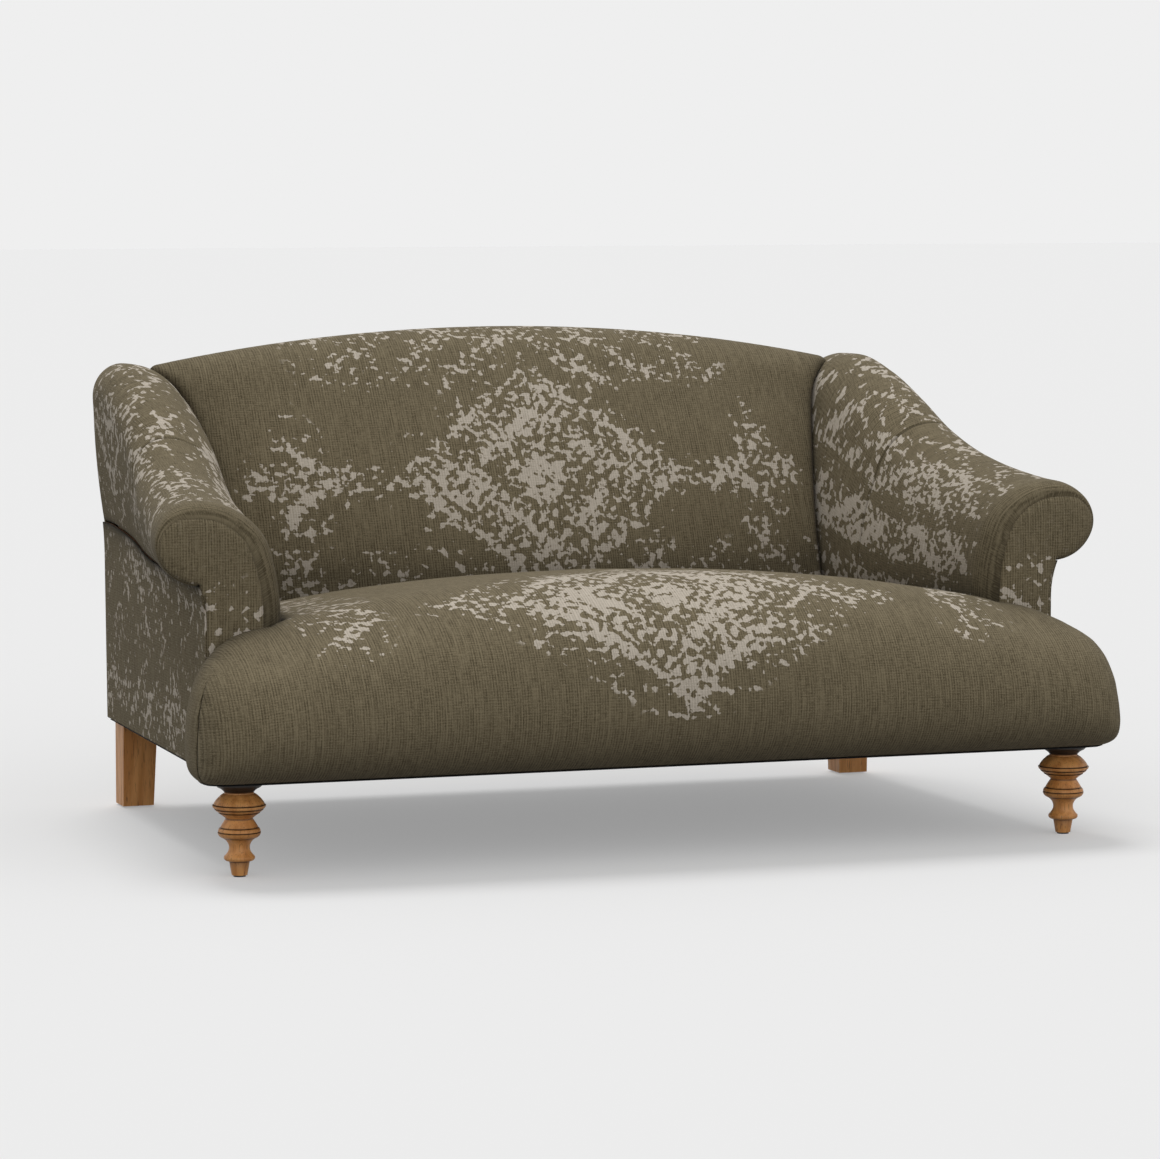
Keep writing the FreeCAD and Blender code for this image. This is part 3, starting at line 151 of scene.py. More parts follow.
class SmoothLine:
    """A smooth line through given values that never swings past them."""

    def __init__(self, places: Sequence[float], values: Sequence[float]) -> None:
        """Works out the slope at each place.

        Args:
            places: rising places.
            values: the line's value at each place.
        """
        self.places = list(places)
        self.values = list(values)
        steps = [b - a for a, b in zip(places, places[1:])]
        rates = [(b - a) / step for a, b, step in zip(values, values[1:], steps)]
        slopes = [rates[0]]
        for before, after, short, long in zip(rates, rates[1:], steps, steps[1:]):
            if before * after <= 0:
                slopes.append(0.0)
                continue
            first = 2 * long + short
            second = long + 2 * short
            slopes.append((first + second) / (first / before + second / after))
        slopes.append(rates[-1])
        self.slopes = slopes

    def at(self, place: float) -> float:
        """The line's value at a place, held level past its ends."""
        if place <= self.places[0]:
            return self.values[0]
        if place >= self.places[-1]:
            return self.values[-1]
        index = bisect.bisect_right(self.places, place) - 1
        step = self.places[index + 1] - self.places[index]
        t = (place - self.places[index]) / step
        start = self.values[index]
        end = self.values[index + 1]
        rise = self.slopes[index] * step
        fall = self.slopes[index + 1] * step
        return (
            start * (1 + 2 * t) * (1 - t) ** 2 + rise * t * (1 - t) ** 2
            + end * t * t * (3 - 2 * t) + fall * t * t * (t - 1)
        )


def arc_through(first: Point, middle: Point, last: Point, count: int) -> list[Point]:
    """Points along the circular arc through three points.

    Args:
        first: where the arc starts.
        middle: a point that it passes.
        last: where it ends.
        count: steps along it.

    Returns:
        The points after the first one, up to the last.
    """
    ax, ay = first
    bx, by = middle
    cx, cy = last
    turn = 2 * (ax * (by - cy) + bx * (cy - ay) + cx * (ay - by))
    if abs(turn) < MM * MM:
        return [midway(first, last, (k / count, k / count)) for k in range(1, count + 1)]
    a2 = ax * ax + ay * ay
    b2 = bx * bx + by * by
    c2 = cx * cx + cy * cy
    ox = (a2 * (by - cy) + b2 * (cy - ay) + c2 * (ay - by)) / turn
    oy = (a2 * (cx - bx) + b2 * (ax - cx) + c2 * (bx - ax)) / turn
    radius = math.hypot(ax - ox, ay - oy)
    start = math.atan2(ay - oy, ax - ox)
    way = 1 if turn > 0 else -1
    sweep = (math.atan2(cy - oy, cx - ox) - start) * way % math.tau
    points = []
    for k in range(1, count + 1):
        angle = start + way * sweep * k / count
        points.append((ox + radius * math.cos(angle), oy + radius * math.sin(angle)))
    points[-1] = last
    return points


def bow(points: list[Point], end: Point, shares: Point, steps: int) -> None:
    """Carries a line on to an end by an arc, through a point at shares of the way there."""
    points += arc_through(points[-1], midway(points[-1], end, shares), end, steps)


@dataclass
class Outline:
    """An open line of points with its length along it, for reading evenly."""

    points: list[Point]
    lengths: list[float] = field(init=False)

    def __post_init__(self) -> None:
        """Adds up the length to each point."""
        self.lengths = [0.0]
        for a, b in zip(self.points, self.points[1:]):
            self.lengths.append(self.lengths[-1] + math.dist(a, b))

    @property
    def length(self) -> float:
        """The whole length."""
        return self.lengths[-1]

    @property
    def spans(self) -> Point:
        """How far the points reach along each axis."""
        across = [point[0] for point in self.points]
        along = [point[1] for point in self.points]
        return max(across) - min(across), max(along) - min(along)

    @property
    def area(self) -> float:
        """The area inside the closed outline."""
        pairs = zip(self.points, self.points[1:] + self.points[:1])
        return abs(sum(a[0] * b[1] - b[0] * a[1] for a, b in pairs)) / 2

    def at(self, distance: float) -> Point:
        """The point at a distance along the line."""
        distance = min(max(distance, 0.0), self.length)
        index = min(bisect.bisect_right(self.lengths, distance), len(self.points) - 1)
        low = self.lengths[index - 1]
        span = self.lengths[index] - low
        share = (distance - low) / span if span > 0 else 0.0
        return midway(self.points[index - 1], self.points[index], (share, share))

    def softened(self, step: float, passes: int) -> "Outline":
        """The same line with its kinks rounded and its ends kept.

        Args:
            step: spacing of the new points.
            passes: how often each point moves to the middle of its neighbours.

        Returns:
            The softened line.
        """
        count = max(int(self.length / step), 3)
        points = [self.at(self.length * k / count) for k in range(count + 1)]
        for _ in range(passes):
            moved = [
                ((a[0] + 2 * b[0] + c[0]) / 4, (a[1] + 2 * b[1] + c[1]) / 4)
                for a, b, c in zip(points, points[1:], points[2:])
            ]
            points = [points[0]] + moved + [points[-1]]
        return Outline(points)

    def outward(self, distance: float) -> Point:
        """The unit direction to the right of the way along, at a distance."""
        reach = 4 * MM
        ax, ay = self.at(distance - reach)
        bx, by = self.at(distance + reach)
        long = math.hypot(bx - ax, by - ay) or 1.0
        return (by - ay) / long, -(bx - ax) / long

    def holds(self, place: Point) -> bool:
        """Whether the closed outline goes round a place."""
        x, y = place
        inside = False
        for a, b in zip(self.points, self.points[1:] + self.points[:1]):
            if (a[1] > y) != (b[1] > y):
                if x < a[0] + (y - a[1]) * (b[0] - a[0]) / (b[1] - a[1]):
                    inside = not inside
        return inside

    def gap_to(self, place: Point) -> float:
        """The shortest way from a place to the closed outline."""
        best = math.inf
        px, py = place
        for a, b in zip(self.points, self.points[1:] + self.points[:1]):
            dx, dy = b[0] - a[0], b[1] - a[1]
            long = dx * dx + dy * dy
            share = 0.0 if long == 0 else ((px - a[0]) * dx + (py - a[1]) * dy) / long
            share = min(max(share, 0.0), 1.0)
            best = min(best, math.hypot(a[0] + dx * share - px, a[1] + dy * share - py))
        return best


def stops(*parts: tuple[float, float, float]) -> list[float]:
    """Rising places for the lines of a mesh.

    Args:
        parts: stretches, each from a place, to a place, with at most a step.

    Returns:
        The places, each once.
    """
    slack = 0.01
    places = [parts[0][0]]
    for start, end, step in parts:
        count = max(math.ceil((end - start) / step - slack), 1)
        places += [blend(start, end, k / count) for k in range(1, count + 1)]
    return places


# The sofa's surfaces


@dataclass(frozen=True)
class Footprint:
    """Sizes that the upholstery shares with the frame."""

    front: float = -0.575
    rear: float = 0.575
    base: float = 0.172
    foam_floor: float = 0.3011
    top: float = 0.933
    facing: float = -0.316
    cover: float = 0.003
    room: float = 0.0033
    lean: float = 0.030
    edge_drop: float = 0.040

    def rear_plane(self, z: float) -> float:
        """How far back the outside back lies at a height."""
        high = self.top - self.edge_drop
        return self.rear - self.lean * (high - z) / (high - self.base)


@dataclass(frozen=True)
class ArmForm:
    """The right arm's sections, from the facing at the front to the outside back."""

    footprint: Footprint = Footprint()
    roll_half: float = 0.919
    roll_rear_half: float = 0.818
    stem_half: float = 0.828
    stem_rear_half: float = 0.8015
    inner_half: float = 0.715
    inner_rear_half: float = 0.639
    ridge_half: float = 0.847
    ridge_rear_half: float = 0.769
    ridge_height: float = 0.631
    ridge_rear_height: float = 0.8465
    crease_height: float = 0.504
    crease_rear_height: float = 0.556
    crease_depth: float = 0.010
    roll_drop: float = 0.061
    roll_rear_drop: float = 0.056
    shoulder_drop: float = 0.061
    shoulder_inset: float = 0.024
    shoulder_rear_inset: float = 0.060
    face_height: float = 0.450
    top_padding: float = 0.024
    side_padding: float = 0.036
    run_shares: tuple[float, ...] = (0.0, 0.05, 0.20, 0.37, 0.52, 0.66, 0.80, 0.92, 1.06)
    rise_shares: tuple[float, ...] = (0.0, 0.004, 0.067, 0.193, 0.412, 0.682, 0.885, 0.987, 0.978)
    crease_shares: tuple[float, ...] = (0.0, 0.0, 0.0, 0.15, 0.32, 0.70, 0.90, 1.0, 1.0)
    splay_shares: tuple[float, ...] = (0.0, 0.01, 0.24, 0.50, 0.75, 0.96, 1.0, 1.0, 1.0)
    taper_shares: tuple[float, ...] = (0.0, 0.06, 0.30, 0.50, 0.73, 0.85, 0.90, 0.96, 1.0)
    padding_run_share: float = 0.05
    under_shares: Point = (0.62, 0.27)
    under_rear_shares: Point = (0.68, 0.45)
    flare: float = 0.013
    flare_reach: float = 0.065
    flare_fade: float = 0.8
    outer_shares: Point = (0.20, 0.67)
    inner_shares: Point = (0.54, 0.20)
    face_shares: Point = (0.30, 0.50)
    arc_steps: int = 24
    soften_step: float = 0.004
    soften_passes: int = 18

    @property
    def length(self) -> float:
        """From the facing to the outside back."""
        return self.footprint.rear - self.footprint.facing

    def run(self, y: float) -> float:
        """How far along the arm a place lies, as a share."""
        return (y - self.footprint.facing) / self.length

    def stem_at(self, y: float) -> float:
        """How far out the outer face lies."""
        return blend(self.stem_half, self.stem_rear_half, self.run(y))

    def flare_at(self, y: float, z: float) -> float:
        """How far the outer face leans out to meet the roll, at a place along and a height."""
        share = max(1.0 - (self.crease_at(y) - z) / self.flare_reach, 0.0)
        return self.flare * share * share * (1.0 - self.flare_fade * min(self.run(y), 1.0))

    def crease_at(self, y: float) -> float:
        """Height of the crease under the roll."""
        share = SmoothLine(self.run_shares, self.crease_shares).at(self.run(y))
        return blend(self.crease_height, self.crease_rear_height, share)

    @functools.lru_cache(maxsize=None)
    def section(self, y: float) -> Outline:
        """The arm's outline in X and Z, from the crease over the top to the seat's deck."""
        run = self.run(y)
        rise = SmoothLine(self.run_shares, self.rise_shares).at(run)
        splay = SmoothLine(self.run_shares, self.splay_shares).at(run)
        left = max(1.0 - max(run, 0.0) / self.padding_run_share, 0.0)
        padding = math.sqrt(1.0 - left * left)
        ridge = blend(self.ridge_height, self.ridge_rear_height, rise)
        inner_x = blend(self.inner_half, self.inner_rear_half, splay)
        inset = blend(self.shoulder_inset, self.shoulder_rear_inset, splay)
        side = self.side_padding * padding
        top = self.top_padding * padding
        taper = SmoothLine(self.run_shares, self.taper_shares).at(run)
        crease = (self.stem_at(y) + self.crease_depth * (1.0 - taper), self.crease_at(y))
        roll_z = ridge - blend(self.roll_drop, self.roll_rear_drop, taper)
        roll = (blend(self.roll_half, self.roll_rear_half, taper), roll_z)
        summit = (blend(self.ridge_half, self.ridge_rear_half, taper), ridge + top)
        shoulder = (inner_x + inset - side, ridge - self.shoulder_drop + top / 2)
        lap = (inner_x - side, self.face_height)
        foot = (inner_x - side, self.footprint.foam_floor)
        points = [crease]
        steps = self.arc_steps
        under = midway(self.under_shares, self.under_rear_shares, (taper, taper))
        bow(points, roll, under, steps)
        bow(points, summit, self.outer_shares, steps)
        bow(points, shoulder, self.inner_shares, steps)
        points += arc_through(shoulder, midway(lap, shoulder, self.face_shares), lap, steps)
        points.append(foot)
        return Outline(points).softened(self.soften_step, self.soften_passes)

    def body(self, y: float) -> Outline:
        """The arm's whole section as a closed outline."""
        rim = self.section(round(y, 3)).points
        stem = self.stem_at(y)
        base = self.footprint.base
        return Outline(rim + [(rim[-1][0], base), (stem, base), (stem, rim[0][1])])

    def face_at(self, y: float, z: float) -> float:
        """How far out the inner face lies at a place along the arm and a height."""
        points = self.section(round(y, 3)).points
        for a, b in zip(points[::-1], points[-2::-1]):
            if a[1] <= z <= b[1]:
                return blend(a[0], b[0], (z - a[1]) / ((b[1] - a[1]) or 1.0))
        return points[-1][0]


@dataclass(frozen=True)
class BackForm:
    """Sections of the back, across Y and Z."""

    footprint: Footprint = Footprint()
    side_half: float = 0.720
    crown_half: float = 0.600
    side_drop: float = 0.069
    crown: float = 0.100
    lumbar_depth: float = 0.422
    lumbar_height: float = 0.400
    middle_depth: float = 0.338
    middle_height: float = 0.620
    shoulder_depth: float = 0.170
    shoulder_drop: float = 0.073
    apex_depth: float = 0.030
    shoulder_crown_share: float = 0.55
    roll_shares: Point = (0.45, 0.72)
    brow_shares: Point = (0.75, 0.68)
    arc_steps: int = 24
    soften_step: float = 0.004
    soften_passes: int = 30

    def top_at(self, x: float) -> float:
        """Height of the highest line at a place across."""
        return self.footprint.top - self.side_drop * (x / self.side_half) ** 2

    @functools.lru_cache(maxsize=None)
    def section(self, x: float) -> Outline:
        """The outline in Y and Z, from the deck up the inside back and over to the rear seam."""
        crown = self.crown * (x / self.crown_half) ** 2
        rear = self.footprint.rear
        top = self.top_at(x)
        drop = self.footprint.top - top
        lumbar = (rear - self.lumbar_depth + crown, self.lumbar_height)
        middle = (rear - self.middle_depth + crown, self.middle_height - drop / 2)
        shoulder = (
            rear - self.shoulder_depth + crown * self.shoulder_crown_share,
            top - self.shoulder_drop,
        )
        apex = (rear - self.apex_depth, top)
        edge_z = top - self.footprint.edge_drop
        edge = (self.footprint.rear_plane(edge_z), edge_z)
        slope = (middle[0] - lumbar[0]) / (middle[1] - lumbar[1])
        floor = self.footprint.foam_floor
        foot = (lumbar[0] - slope * (lumbar[1] - floor), floor)
        brow = midway((apex[0], edge_z), (edge[0], top), self.brow_shares)
        steps = self.arc_steps
        points = [foot, lumbar]
        points += arc_through(lumbar, middle, shoulder, steps)
        bow(points, apex, self.roll_shares, steps)
        points += arc_through(apex, brow, edge, steps)
        return Outline(points).softened(self.soften_step, self.soften_passes)


@dataclass(frozen=True)
class SeatForm:
    """Sections of the seat, across Y and Z, from the middle out to the ends of the nose."""

    footprint: Footprint = Footprint()
    half: float = 0.885
    height: float = 0.505
    end_drop: float = 0.106
    rail_setback: float = 0.082
    nose_height: float = 0.285
    turn_setback: float = 0.125
    turn_drop: float = 0.035
    crest_setback: float = 0.290
    tuck_depth: float = 0.260
    tuck_drop: float = 0.055
    across_shares: tuple[float, ...] = (0.0, 0.22, 0.45, 0.65, 0.79, 0.88, 0.94, 0.98, 1.0)
    drop_shares: tuple[float, ...] = (0.0, 0.05, 0.20, 0.44, 0.66, 0.90, 1.14, 1.50, 1.90)
    back_shares: tuple[float, ...] = (0.0, 0.0, 0.0, 0.0, 0.02, 0.06, 0.14, 0.26, 0.42)
    nose_drop_share: float = 0.30
    turn_back_share: float = 0.40
    under_shares: Point = (0.67, 0.32)
    face_shares: Point = (0.27, 0.57)
    front_shares: Point = (0.45, 0.76)
    rear_shares: Point = (0.50, 0.36)
    arc_steps: int = 20
    soften_step: float = 0.004
    soften_passes: int = 40

    @functools.lru_cache(maxsize=None)
    def section(self, x: float) -> Outline:
        """The outline in Y and Z, from under the nose over the crown to the tucked rear edge."""
        across = abs(x) / self.half
        drop = self.end_drop * SmoothLine(self.across_shares, self.drop_shares).at(across)
        back = self.rail_setback * SmoothLine(self.across_shares, self.back_shares).at(across)
        front = self.footprint.front
        crown = self.height - drop
        under = (front + self.rail_setback - self.footprint.room, self.footprint.base)
        nose = (front + back, self.nose_height - drop * self.nose_drop_share)
        turn = (front + self.turn_setback + back * self.turn_back_share, crown - self.turn_drop)
        crest = (front + self.crest_setback, crown)
        tuck = (self.footprint.rear - self.tuck_depth, crown - self.tuck_drop)
        steps = self.arc_steps
        points = [under]
        bow(points, nose, self.under_shares, steps)
        bow(points, turn, self.face_shares, steps)
        bow(points, crest, self.front_shares, steps)
        bow(points, tuck, self.rear_shares, steps)
        return Outline(points).softened(self.soften_step, self.soften_passes)


# Mesh helpers


@dataclass
class Vertex:
    """What a surface function gives for one vertex of a panel."""

    place: Place
    cloth: Point
    cover: float = 0.0
    # Painted shade: how far the cloth is darkened where shade falls in its creases and hollows
    crease: float = 0.0


def finished(bm: bmesh.types.BMesh, name: str) -> bpy.types.Object:
    """Makes a bmesh an object at the origin, linked to the scene and shaded smooth.

    Args:
        bm: the shape, which is freed.
        name: the object's name.

    Returns:
        The object.
    """
    mesh = bpy.data.meshes.new(name)
    bm.to_mesh(mesh)
    bm.free()
    for polygon in mesh.polygons:
        polygon.use_smooth = True
    item = bpy.data.objects.new(name, mesh)
    bpy.context.scene.collection.objects.link(item)
    return item


def lay_cloth(
    bm: bmesh.types.BMesh, layer: bmesh.types.BMLayerItem, cloth: dict[bmesh.types.BMVert, Point]
) -> None:
    """Writes each vertex's place on the cloth to the corners of the faces round it."""
    for face in bm.faces:
        for loop in face.loops:
            loop[layer].uv = cloth[loop.vert]


def outward_faces(bm: bmesh.types.BMesh, towards: Callable[[Vector], Vector]) -> None:
    """Turns a sheet's faces so that they look away from its inside."""
    bm.normal_update()
    votes = 0.0
    for face in bm.faces:
        votes += face.normal.dot(towards(face.calc_center_median())) * face.calc_area()
    if votes < 0:
        bmesh.ops.reverse_faces(bm, faces=bm.faces)


class Panel:
    """A panel of cloth on a grid, mapped onto a surface."""

    def __init__(self, name: str, columns: int, rows: int) -> None:
        """Starts the flat grid.

        Args:
            name: the piece's name.
            columns: lines of vertices across.
            rows: lines of vertices along.
        """
        self.name = name
        self.columns = columns
        self.rows = rows
        self.bm = bmesh.new()
        self.cloth = self.bm.loops.layers.uv.new("cloth")
        bmesh.ops.create_grid(
            self.bm, x_segments=columns - 1, y_segments=rows - 1, size=0.5, calc_uvs=True
        )
        self.cover = self.bm.verts.layers.float.new("cover")
        # Painted shade for creases and hollows, kept at each vertex
        self.crease = self.bm.verts.layers.float.new("crease")

    def map(self, surface: Callable[[int, int], Vertex | None]) -> None:
        """Moves each vertex to its place and drops those that the surface leaves out."""
        cloth = {}
        gone = []
        for vertex in self.bm.verts:
            column = round((vertex.co.x + 0.5) * (self.columns - 1))
            found = surface(column, round((vertex.co.y + 0.5) * (self.rows - 1)))
            if found is None:
                gone.append(vertex)
                continue
            vertex.co = Vector(found.place)
            vertex[self.cover] = found.cover
            vertex[self.crease] = found.crease
            cloth[vertex] = found.cloth
        bmesh.ops.delete(self.bm, geom=gone, context="VERTS")
        strays = [vertex for vertex in self.bm.verts if not vertex.link_faces]
        bmesh.ops.delete(self.bm, geom=strays, context="VERTS")
        lay_cloth(self.bm, self.cloth, cloth)
        bmesh.ops.remove_doubles(self.bm, verts=self.bm.verts, dist=MM / 50)

    def done(self, towards: Callable[[Vector], Vector]) -> bpy.types.Object:
        """Turns the faces outwards and makes the object."""
        outward_faces(self.bm, towards)
        return finished(self.bm, self.name)


def flat_panel(
    name: str, outline: Outline, spacing: float, lift: Callable[[Point, float], Place],
    wear: Callable[[Point], float], towards: Vector,
) -> bpy.types.Object:
    """A panel cut to a closed outline, with a net of vertices inside it.

    Args:
        name: the piece's name.
        outline: the edge in the panel's own two axes.
        spacing: size of the net's meshes.
        lift: gives the place of a vertex from its two axes and its way in from the edge.
        wear: gives how much of the print shows at a vertex.
        towards: the outward direction.

    Returns:
        The panel's object.
    """
    bm = bmesh.new()
    layer = bm.loops.layers.uv.new("cloth")
    cover = bm.verts.layers.float.new("cover")
    bm.faces.new([bm.verts.new((x, y, 0.0)) for x, y in outline.points])
    for axis, across in enumerate((Vector((1.0, 0.0, 0.0)), Vector((0.0, 1.0, 0.0)))):
        low = min(point[axis] for point in outline.points)
        high = max(point[axis] for point in outline.points)
        count = int((high - low) / spacing)
        for k in range(1, count):
            bmesh.ops.bisect_plane(
                bm, geom=bm.verts[:] + bm.edges[:] + bm.faces[:],
                plane_co=across * blend(low, high, k / count), plane_no=across, dist=MM / 10,
            )
    bmesh.ops.remove_doubles(bm, verts=bm.verts, dist=MM / 4)
    cloth = {}
    for vertex in bm.verts:
        point = (vertex.co.x, vertex.co.y)
        cloth[vertex] = point
        depth = 0.0 if vertex.is_boundary else outline.gap_to(point)
        vertex[cover] = wear(point)
        vertex.co = Vector(lift(point, depth))
    lay_cloth(bm, layer, cloth)
    outward_faces(bm, lambda _: towards)
    return finished(bm, name)


def thicken(item: bpy.types.Object, depth: float) -> None:
    """Gives a sheet a closed thickness behind its face."""
    wall = item.modifiers.new("wall", "SOLIDIFY")
    wall.thickness = depth
    wall.offset = -1.0
    wall.use_even_offset = False
    wall.use_rim = True


def on_side(side: Side, source: bpy.types.Object) -> bpy.types.Object:
    """A right-hand piece itself, or its mirrored copy for the left.

    Args:
        side: where the piece goes.
        source: the right-hand piece.

    Returns:
        The piece for that side.
    """
    if side is Side.RIGHT:
        return source
    bm = bmesh.new()
    bm.from_mesh(source.data)
    cloth = bm.loops.layers.uv["cloth"]
    bmesh.ops.scale(bm, vec=(-1.0, 1.0, 1.0), verts=bm.verts)
    for face in bm.faces:
        for loop in face.loops:
            loop[cloth].uv += Vector(OTHER_SIDE)
    bmesh.ops.reverse_faces(bm, faces=bm.faces)
    return finished(bm, source.name.replace(Side.RIGHT.label, side.label, 1))


# Shader helpers


class Value:
    """A number that a shader works out, reckoned with as with a plain one."""

    def __init__(self, nodes: Nodes, socket: bpy.types.NodeSocket) -> None:
        """Holds the socket that gives the number."""
        self.nodes = nodes
        self.socket = socket

    def __add__(self, other: object) -> Value:
        """This and another."""
        return self.nodes.maths("ADD", self, other)

    def __sub__(self, other: object) -> Value:
        """This less another."""
        return self.nodes.maths("SUBTRACT", self, other)

    def __rsub__(self, other: object) -> Value:
        """Another less this."""
        return self.nodes.maths("SUBTRACT", other, self)

    def __mul__(self, other: object) -> Value:
        """This times another."""
        return self.nodes.maths("MULTIPLY", self, other)

    def __truediv__(self, other: object) -> Value:
        """This over another."""
        return self.nodes.maths("DIVIDE", self, other)

    def __abs__(self) -> Value:
        """This without its sign."""
        return self.nodes.maths("ABSOLUTE", self)

    def most(self, other: object) -> Value:
        """The greater of this and another."""
        return self.nodes.maths("MAXIMUM", self, other)

    def folded(self, width: float) -> Value:
        """This run to and fro between 0 and a width."""
        return self.nodes.maths("PINGPONG", self, width)

    def step(self, low: float, high: float) -> Value:
        """A smooth step from 0 at the low value to 1 at the high one."""
        return self.nodes.scaled(self, (low, high), (0.0, 1.0), "SMOOTHSTEP")


class Nodes:
    """Short ways to add and join nodes in a material or a group."""

    def __init__(self, tree: bpy.types.NodeTree) -> None:
        """Starts on a tree."""
        self.tree = tree

    def add(self, kind: str, **settings: object) -> bpy.types.Node:
        """Adds a node and sets its properties."""
        node = self.tree.nodes.new(kind)
        for key, setting in settings.items():
            setattr(node, key, setting)
        return node

    def feed(self, source: object, socket: bpy.types.NodeSocket) -> None:
        """Joins a socket to what feeds it, or sets it to a plain value."""
        if isinstance(source, Value):
            source = source.socket
        if isinstance(source, bpy.types.NodeSocket):
            self.tree.links.new(source, socket)
        else:
            socket.default_value = source

    def fed(self, kind: str, sources: Sequence[object], **settings: object) -> bpy.types.Node:
        """Adds a node and feeds its first inputs."""
        node = self.add(kind, **settings)
        for source, socket in zip(sources, node.inputs):
            self.feed(source, socket)
        return node

    def maths(self, operation: str, *terms: object) -> Value:
        """One sum on numbers."""
        return Value(self, self.fed("ShaderNodeMath", terms, operation=operation).outputs[0])

    def vector(self, operation: str, *terms: object) -> bpy.types.NodeSocket:
        """One sum on vectors."""
        return self.fed("ShaderNodeVectorMath", terms, operation=operation).outputs["Vector"]

    def parts(self, place: object) -> list[Value]:
        """A place split into its three axes."""
        return [Value(self, axis) for axis in self.fed("ShaderNodeSeparateXYZ", [place]).outputs]

    def clouds(
        self, place: object, scale: float, detail: float, rough: float, flat: bool
    ) -> bpy.types.Node:
        """A noise node, on a plane or in space."""
        node = self.add("ShaderNodeTexNoise", noise_dimensions="2D" if flat else "3D")
        self.feed(place, node.inputs["Vector"])
        self.feed(scale, node.inputs["Scale"])
        self.feed(detail, node.inputs["Detail"])
        self.feed(rough, node.inputs["Roughness"])
        return node

    def noise(
        self, place: object, scale: float, detail: float = 2.0, rough: float = 0.5,
        flat: bool = True,
    ) -> Value:
        """Cloudy noise from 0 to 1."""
        return Value(self, self.clouds(place, scale, detail, rough, flat).outputs["Fac"])

    def drawn_out(
        self, place: object, across: float, along: float, detail: float, rough: float = 0.5
    ) -> Value:
        """Noise stretched one way, by its pace across and along."""
        return self.noise(self.vector("MULTIPLY", place, (across, along, 1.0)), 1.0, detail, rough)

    def wobbled(self, place: object, base: object, scale: float, size: float) -> object:
        """A place shifted to and fro a little, for bending a pattern."""
        noise = self.clouds(base, scale, 1.0, 0.5, True).outputs["Color"]
        shift = self.vector("SUBTRACT", noise, (0.5, 0.5, 0.5))
        return self.vector("ADD", place, self.vector("MULTIPLY", shift, (size, size, 0.0)))

    def scaled(
        self, value: object, given: tuple[float, float], wanted: tuple[object, object],
        way: str = "LINEAR",
    ) -> Value:
        """A value carried from one pair of limits to another."""
        node = self.fed("ShaderNodeMapRange", (value, *given, *wanted), interpolation_type=way)
        return Value(self, node.outputs["Result"])

    def mix(self, share: object, first: object, last: object) -> bpy.types.NodeSocket:
        """A mix of two colours."""
        node = self.add("ShaderNodeMix", data_type="RGBA")
        self.feed(share, node.inputs["Factor"])
        self.feed(first, node.inputs[6])
        self.feed(last, node.inputs[7])
        return node.outputs[2]


class Group(Nodes):
    """A shader node group that reads a place and some numbers, and puts out masks."""

    def __init__(self, name: str, inputs: dict[str, float], outputs: Sequence[str]) -> None:
        """Starts the group.

        Args:
            name: the group's name.
            inputs: each input number and its first value.
            outputs: the numbers that it puts out.
        """
        super().__init__(bpy.data.node_groups.new(name, "ShaderNodeTree"))
        face = self.tree.interface
        face.new_socket("Place", in_out="INPUT", socket_type="NodeSocketVector")
        for label, value in inputs.items():
            socket = face.new_socket(label, in_out="INPUT", socket_type="NodeSocketFloat")
            socket.default_value = value
        for label in outputs:
            face.new_socket(label, in_out="OUTPUT", socket_type="NodeSocketFloat")
        self.start = self.add("NodeGroupInput")
        self.end = self.add("NodeGroupOutput")
        self.place = self.start.outputs["Place"]

    def given(self, name: str) -> Value:
        """The number at one of the group's inputs."""
        return Value(self, self.start.outputs[name])

    def put_out(self, name: str, value: Value) -> None:
        """Joins a number to one of the group's outputs."""
        self.feed(value, self.end.inputs[name])


class Coat(Nodes):
    """A material in the making, round its own shader."""

    def __init__(self, name: str) -> None:
        """Starts the material."""
        self.material = bpy.data.materials.new(name)
        self.material.use_nodes = True
        super().__init__(self.material.node_tree)
        self.shader = self.tree.nodes["Principled BSDF"]

    def set(self, **sources: object) -> None:
        """Feeds or sets the shader's sockets, named with _ for a space."""
        for name, source in sources.items():
            self.feed(source, self.shader.inputs[name.replace("_", " ")])

    def placed(self, tree: bpy.types.NodeTree, **sources: object) -> Callable[[str], Value]:
        """Places a group, feeds it, and gives its outputs by name."""
        node = self.add("ShaderNodeGroup", node_tree=tree)
        for name, source in sources.items():
            self.feed(source, node.inputs[name])
        return lambda name: Value(self, node.outputs[name])

    def object_place(self) -> bpy.types.NodeSocket:
        """The place on the piece."""
        return self.add("ShaderNodeTexCoord").outputs["Object"]

    def held(self, name: str) -> Value:
        """A number that the mesh holds at each vertex."""
        return Value(self, self.add("ShaderNodeAttribute", attribute_name=name).outputs["Fac"])

    def relief(self, height: Value, strength: float, distance: float) -> None:
        """Gives the surface a fine relief."""
        bump = self.add("ShaderNodeBump")
        self.feed(strength, bump.inputs["Strength"])
        self.feed(distance, bump.inputs["Distance"])
        self.feed(height, bump.inputs["Height"])
        self.set(Normal=bump.outputs[0])


def seen_rays(nodes: Nodes) -> Value:
    """1 for rays that show the setting itself, straight or in a gloss, and 0 for its light."""
    path = nodes.add("ShaderNodeLightPath")
    seen = Value(nodes, path.outputs["Is Camera Ray"]).most(path.outputs["Is Glossy Ray"])
    return seen.most(path.outputs["Is Transmission Ray"])


def srgb(red: int, green: int, blue: int) -> Colour:
    """A colour from its screen values, as the shader's own linear values.

    Args:
        red: red from 0 to 255.
        green: green from 0 to 255.
        blue: blue from 0 to 255.

    Returns:
        The colour with an alpha of 1.
    """

    def linear(value: int) -> float:
        """One screen value as a linear one."""
        share = value / 255
        return share / 12.92 if share <= 0.04045 else ((share + 0.055) / 1.055) ** 2.4

    return linear(red), linear(green), linear(blue), 1.0


# Node groups that several finishes share


